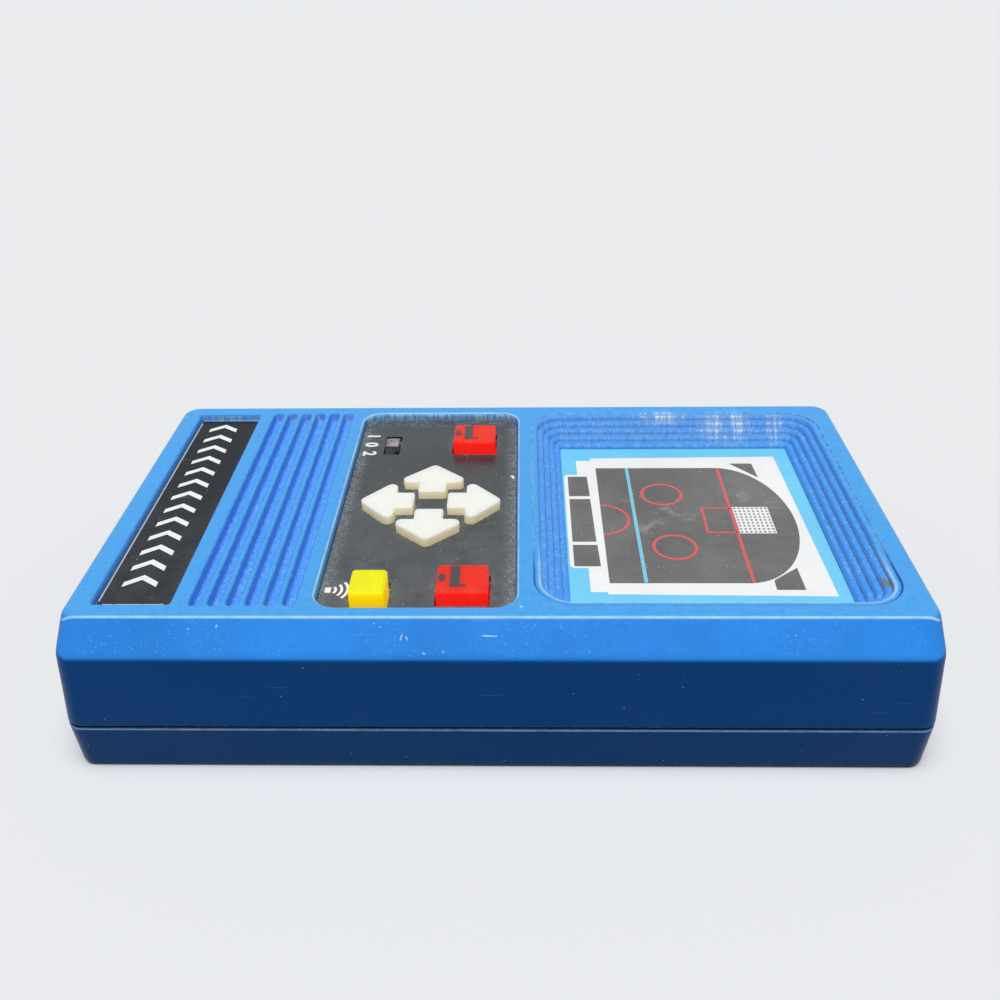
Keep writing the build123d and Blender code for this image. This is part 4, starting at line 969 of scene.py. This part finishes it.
# %% Border and surround
print_low = node_box("display_window")[1][2]
window_left, window_right = 12.05, 59.15
window_near, window_far = -27.3, 27.3
border = rectangle(window_left, window_right, window_near, window_far)
printed([border], print_low, "print_border", ink_cyan)
surround = [(18.0, 23.2), (56.0, 23.8), (56.9, -24.1), (18.5, -23.5), (18.5, -22.9)]
surround += [(15.6, -22.9), (15.6, -15.9)]
surround += arc((13.4, -14.9), 1.0, 1.0, 270, 180, 6)
surround += arc((13.4, 15.5), 1.0, 1.0, 180, 90, 6)
surround += [(15.1, 16.5), (15.1, 22.2), (18.0, 22.2)]
printed([surround], print_low + layer, "print_surround", ink_white)
print("border and surround printed")

# %% [markdown]
# ## Dark fields, lines and net
# The rink is a rectangle with an elliptical end, and the score and penalty windows have four or three
# corners each. The lines lie one layer higher. The net is a white panel under rows of grey diamonds,
# all copies of the first one.

# %% Dark fields
rink_left, rink_straight_end, rink_middle = 18.95, 42.9, -0.65
rink_half, rink_round = 19.75, 12.1
rink = [(rink_left, rink_middle - rink_half)]
rink += arc((rink_straight_end, rink_middle), rink_round, rink_half, -90, 90, 32)
rink += [(rink_left, rink_middle + rink_half)]
score_windows = [
    [(13.15, 8.2), (17.2, 8.2), (17.0, 15.7), (13.15, 15.7)],
    [(13.15, -7.7), (17.5, -7.7), (17.2, 7.1), (13.15, 7.1)],
    [(13.15, -15.4), (17.8, -15.4), (17.6, -8.75), (13.15, -8.75)],
]
penalty_windows = [
    [(46.4, 20.9), (51.2, 15.2), (50.9, 20.9)],
    [(47.0, -22.3), (51.9, -22.3), (51.8, -15.9), (47.1, -19.6)],
]
dark_level = print_low + 2 * layer
printed([rink] + score_windows, dark_level, "print_dark_fields", window_material)
printed(penalty_windows, dark_level, "print_penalty_windows", window_material)
print("dark fields printed")

# %% Lines of the field
line_level = print_low + 3 * layer
printed([rectangle(24.9, 25.55, -20.3, 19.0)], line_level, "print_blue_line", ink_blue)
crease = (37.9, 43.4, -5.0, 3.8)
crease_line = 0.5
crease_lines = [
    rectangle(crease[0], crease[0] + crease_line, crease[2], crease[3]),
    rectangle(crease[0] + crease_line, crease[1], crease[2], crease[2] + crease_line),
    rectangle(crease[0] + crease_line, crease[1], crease[3] - crease_line, crease[3]),
]
half_ring = arc_band((rink_left, -0.3), 5.3, 0.55, -90, 90)
goal_line = rectangle(43.25, 43.85, -20.2, 18.9)
printed([goal_line, half_ring] + crease_lines, line_level, "print_red_lines", ink_red)
ring_radius, ring_line = 4.1, 0.6
rings = [flat_ring(centre, ring_radius, ring_line, line_level)
         for centre in ((31.15, 8.7), (31.5, -9.5))]
finish_piece(rings, "print_red_rings", ink_red)
print("lines printed")

# %% Net
net_left, net_right, net_near, net_far = 43.95, 50.7, -5.1, 4.0
printed([rectangle(net_left, net_right, net_near, net_far)], line_level, "print_net", ink_white)
mesh_columns, mesh_rows = 8, 9
mesh_pitch_x = (net_right - net_left) / mesh_columns
mesh_pitch_y = (net_far - net_near) / mesh_rows
diamond_x, diamond_y = 0.28, 0.34
first = (net_left + mesh_pitch_x / 2, net_near + mesh_pitch_y / 2)
diamond = flat_panel(
    [(first[0] - diamond_x, first[1]), (first[0], first[1] - diamond_y),
     (first[0] + diamond_x, first[1]), (first[0], first[1] + diamond_y)],
    print_low + 4 * layer,
)
diamonds = [diamond]
for column in range(mesh_columns):
    for row in range(mesh_rows):
        if column or row:
            diamonds.append(copy_to(diamond, (column * mesh_pitch_x, row * mesh_pitch_y, 0)))
finish_piece(diamonds, "print_net_mesh", ink_grey)
print("net printed")

# %% [markdown]
# ## The name plate's motif
# A row of plain white chevrons fills the black plate, and a thin pale line along two of its edges is a
# painted highlight.

# %% Name plate chevrons
label_low, label_high = node_box("name_plate")
chevron_count = 13
chevron_pitch = 4.55
chevron_left, chevron_right = -62.0, -56.3
chevron_middle = (chevron_left + chevron_right) / 2
chevron_rise, chevron_line = 2.0, 1.35
chevron_near = 0.95 - chevron_pitch * (chevron_count - 1) / 2 - chevron_rise / 2
chevron = flat_panel(
    [
        (chevron_left, chevron_near),
        (chevron_middle, chevron_near + chevron_rise),
        (chevron_right, chevron_near),
        (chevron_right, chevron_near + chevron_line),
        (chevron_middle, chevron_near + chevron_rise + chevron_line),
        (chevron_left, chevron_near + chevron_line),
    ],
    label_high[2],
)
chevrons = [chevron]
for index in range(1, chevron_count):
    chevrons.append(copy_to(chevron, (0, index * chevron_pitch, 0)))
finish_piece(chevrons, "print_chevrons", ink_white)
# Painted highlight: a thin pale line along two edges of the name plate.
highlight_width, highlight_inset, highlight_short = 0.22, 0.05, 1.0
highlight_left, highlight_near = label_low[0] + highlight_inset, label_low[1] + highlight_inset
edge_highlight_outlines = [
    rectangle(highlight_left, highlight_left + highlight_width, label_low[1] + highlight_short, label_high[1] - highlight_short),
    rectangle(label_low[0] + highlight_short, label_high[0] - highlight_short, highlight_near, highlight_near + highlight_width),
]
edge_highlight_ink = ink("edge_highlight", (0.55, 0.58, 0.58), (0.05, 0.06, 0.07), 0.9)
printed(edge_highlight_outlines, label_high[2], "print_edge_highlights", edge_highlight_ink)
print("name plate printed")

# %% [markdown]
# ## Marks on the keypad plate and the red buttons
# Beside the switch stand plain numerals, one for each stop, and beside the yellow button stand three
# arcs that spread like sound. The two red buttons carry a worn bar and a dot.

# %% Numerals and arcs
def numeral(sign, x, y, size, low):
    """A numeral that reads from the right-hand end: made mesh before it is placed."""
    start_clean()
    bpy.ops.object.text_add(location=(x * mm, y * mm, low * mm), rotation=(0, 0, -math.pi / 2))
    text = bpy.context.object
    text.data.body = sign
    text.data.size = size * mm
    text.data.extrude = layer / 2 * mm
    text.data.offset = 0.13 * mm
    text.data.resolution_u = 3
    bpy.ops.object.convert(target="MESH")
    return bpy.context.object


numeral_x, numeral_size = -28.2, 3.6
numerals = [numeral(sign, numeral_x, y, numeral_size, plate_top + layer / 2)
            for sign, y in (("1", 27.2), ("0", 23.5), ("2", 19.8))]
finish_piece(numerals, "print_numerals", ink_white)
speaker = (-27.9, -27.4)
sound_marks = [rectangle(speaker[0] - 0.5, speaker[0] + 0.5, speaker[1] - 0.7, speaker[1] + 0.7)]
sound_line = 0.45
for radius in (1.5, 2.5, 3.5):
    sound_marks.append(arc_band(speaker, radius, sound_line, -40, 40, 10))
printed(sound_marks, plate_top, "print_sound_arcs", ink_white)
print("keypad plate printed")

# %% Bars and dots on the red buttons
button_wide, button_long = 8.35, 7.6
bar = [(0.26, 0.06), (0.45, 0.06), (0.45, 0.73), (0.58, 0.73), (0.58, 0.8), (0.26, 0.8)]
worn_ink = ink("ink_worn", (0.055, 0.04, 0.045), (0.3, 0.05, 0.045), 0.4, 0.5, 0.2)
for button in ("action_button_far", "action_button_near"):
    low, high = node_box(button)
    left = (low[0] + high[0] - button_wide) / 2
    far = (low[1] + high[1] + button_long) / 2
    outline = [(left + u * button_wide, far - v * button_long) for u, v in bar]
    dot = arc((left + 0.1 * button_wide, far - 0.47 * button_long), 0.6, 1.1, 0, 330, 11)
    name = button.replace("action_button", "print_bar")
    printed([outline, dot], key_top, name, worn_ink, button)
print("button marks printed")

# %% [markdown]
# ## Light
# A broad, soft sun stands almost overhead, leaning a little towards the player, so the top face is
# bright, the slope a little deeper and the near wall deeper still, as in the photograph. The world
# adds a weak fill, and it looks pale only where it is seen directly or mirrored. The floor lies a hair
# below the game's underside, so that the two flat faces never share one plane.

# %% Floor, world and lamps
floor_size, floor_drop = 4.0, 0.02
pale = (0.8, 0.81, 0.82)
bounce = (0.07, 0.07, 0.075)


def seen_directly(material):
    """1 for rays from the camera, from gloss and through glass; 0 for the light that bounces."""
    path = add_node(material, "ShaderNodeLightPath").outputs
    gloss = calculate(material, "MAXIMUM", path["Is Glossy Ray"], path["Is Transmission Ray"])
    return calculate(material, "MAXIMUM", path["Is Camera Ray"], gloss)


start_clean()
bpy.ops.mesh.primitive_plane_add(size=floor_size, location=(0, 0, -floor_drop * mm))
floor = bpy.context.object
floor.name = "studio_floor"
floor_material, floor_shader = new_material("studio_floor")
floor_shader.inputs["Roughness"].default_value = 0.9
floor_shader.inputs["Specular IOR Level"].default_value = 0.2
floor_colour = blend_colour(floor_material, seen_directly(floor_material), bounce, pale)
floor_material.node_tree.links.new(floor_colour, floor_shader.inputs["Base Color"])
floor.data.materials.append(floor_material)

world = bpy.data.worlds.new("studio_air")
bpy.context.scene.world = world
world.use_nodes = True
air = world.node_tree.nodes["Background"]
air_colour = blend_colour(world, seen_directly(world), (0.13, 0.135, 0.145), (0.83, 0.845, 0.862))
world.node_tree.links.new(air_colour, air.inputs["Color"])

sun = bpy.data.lights.new("soft_sun", "SUN")
sun.energy = 2.85
sun.angle = math.radians(40)
sun_holder = bpy.data.objects.new("soft_sun", sun)
bpy.context.collection.objects.link(sun_holder)
sun_lean = math.radians(10)
sun_holder.matrix_world = Matrix.Rotation(sun_lean, 4, "X")
bpy.context.scene.view_settings.view_transform = "Standard"
print("studio lit")
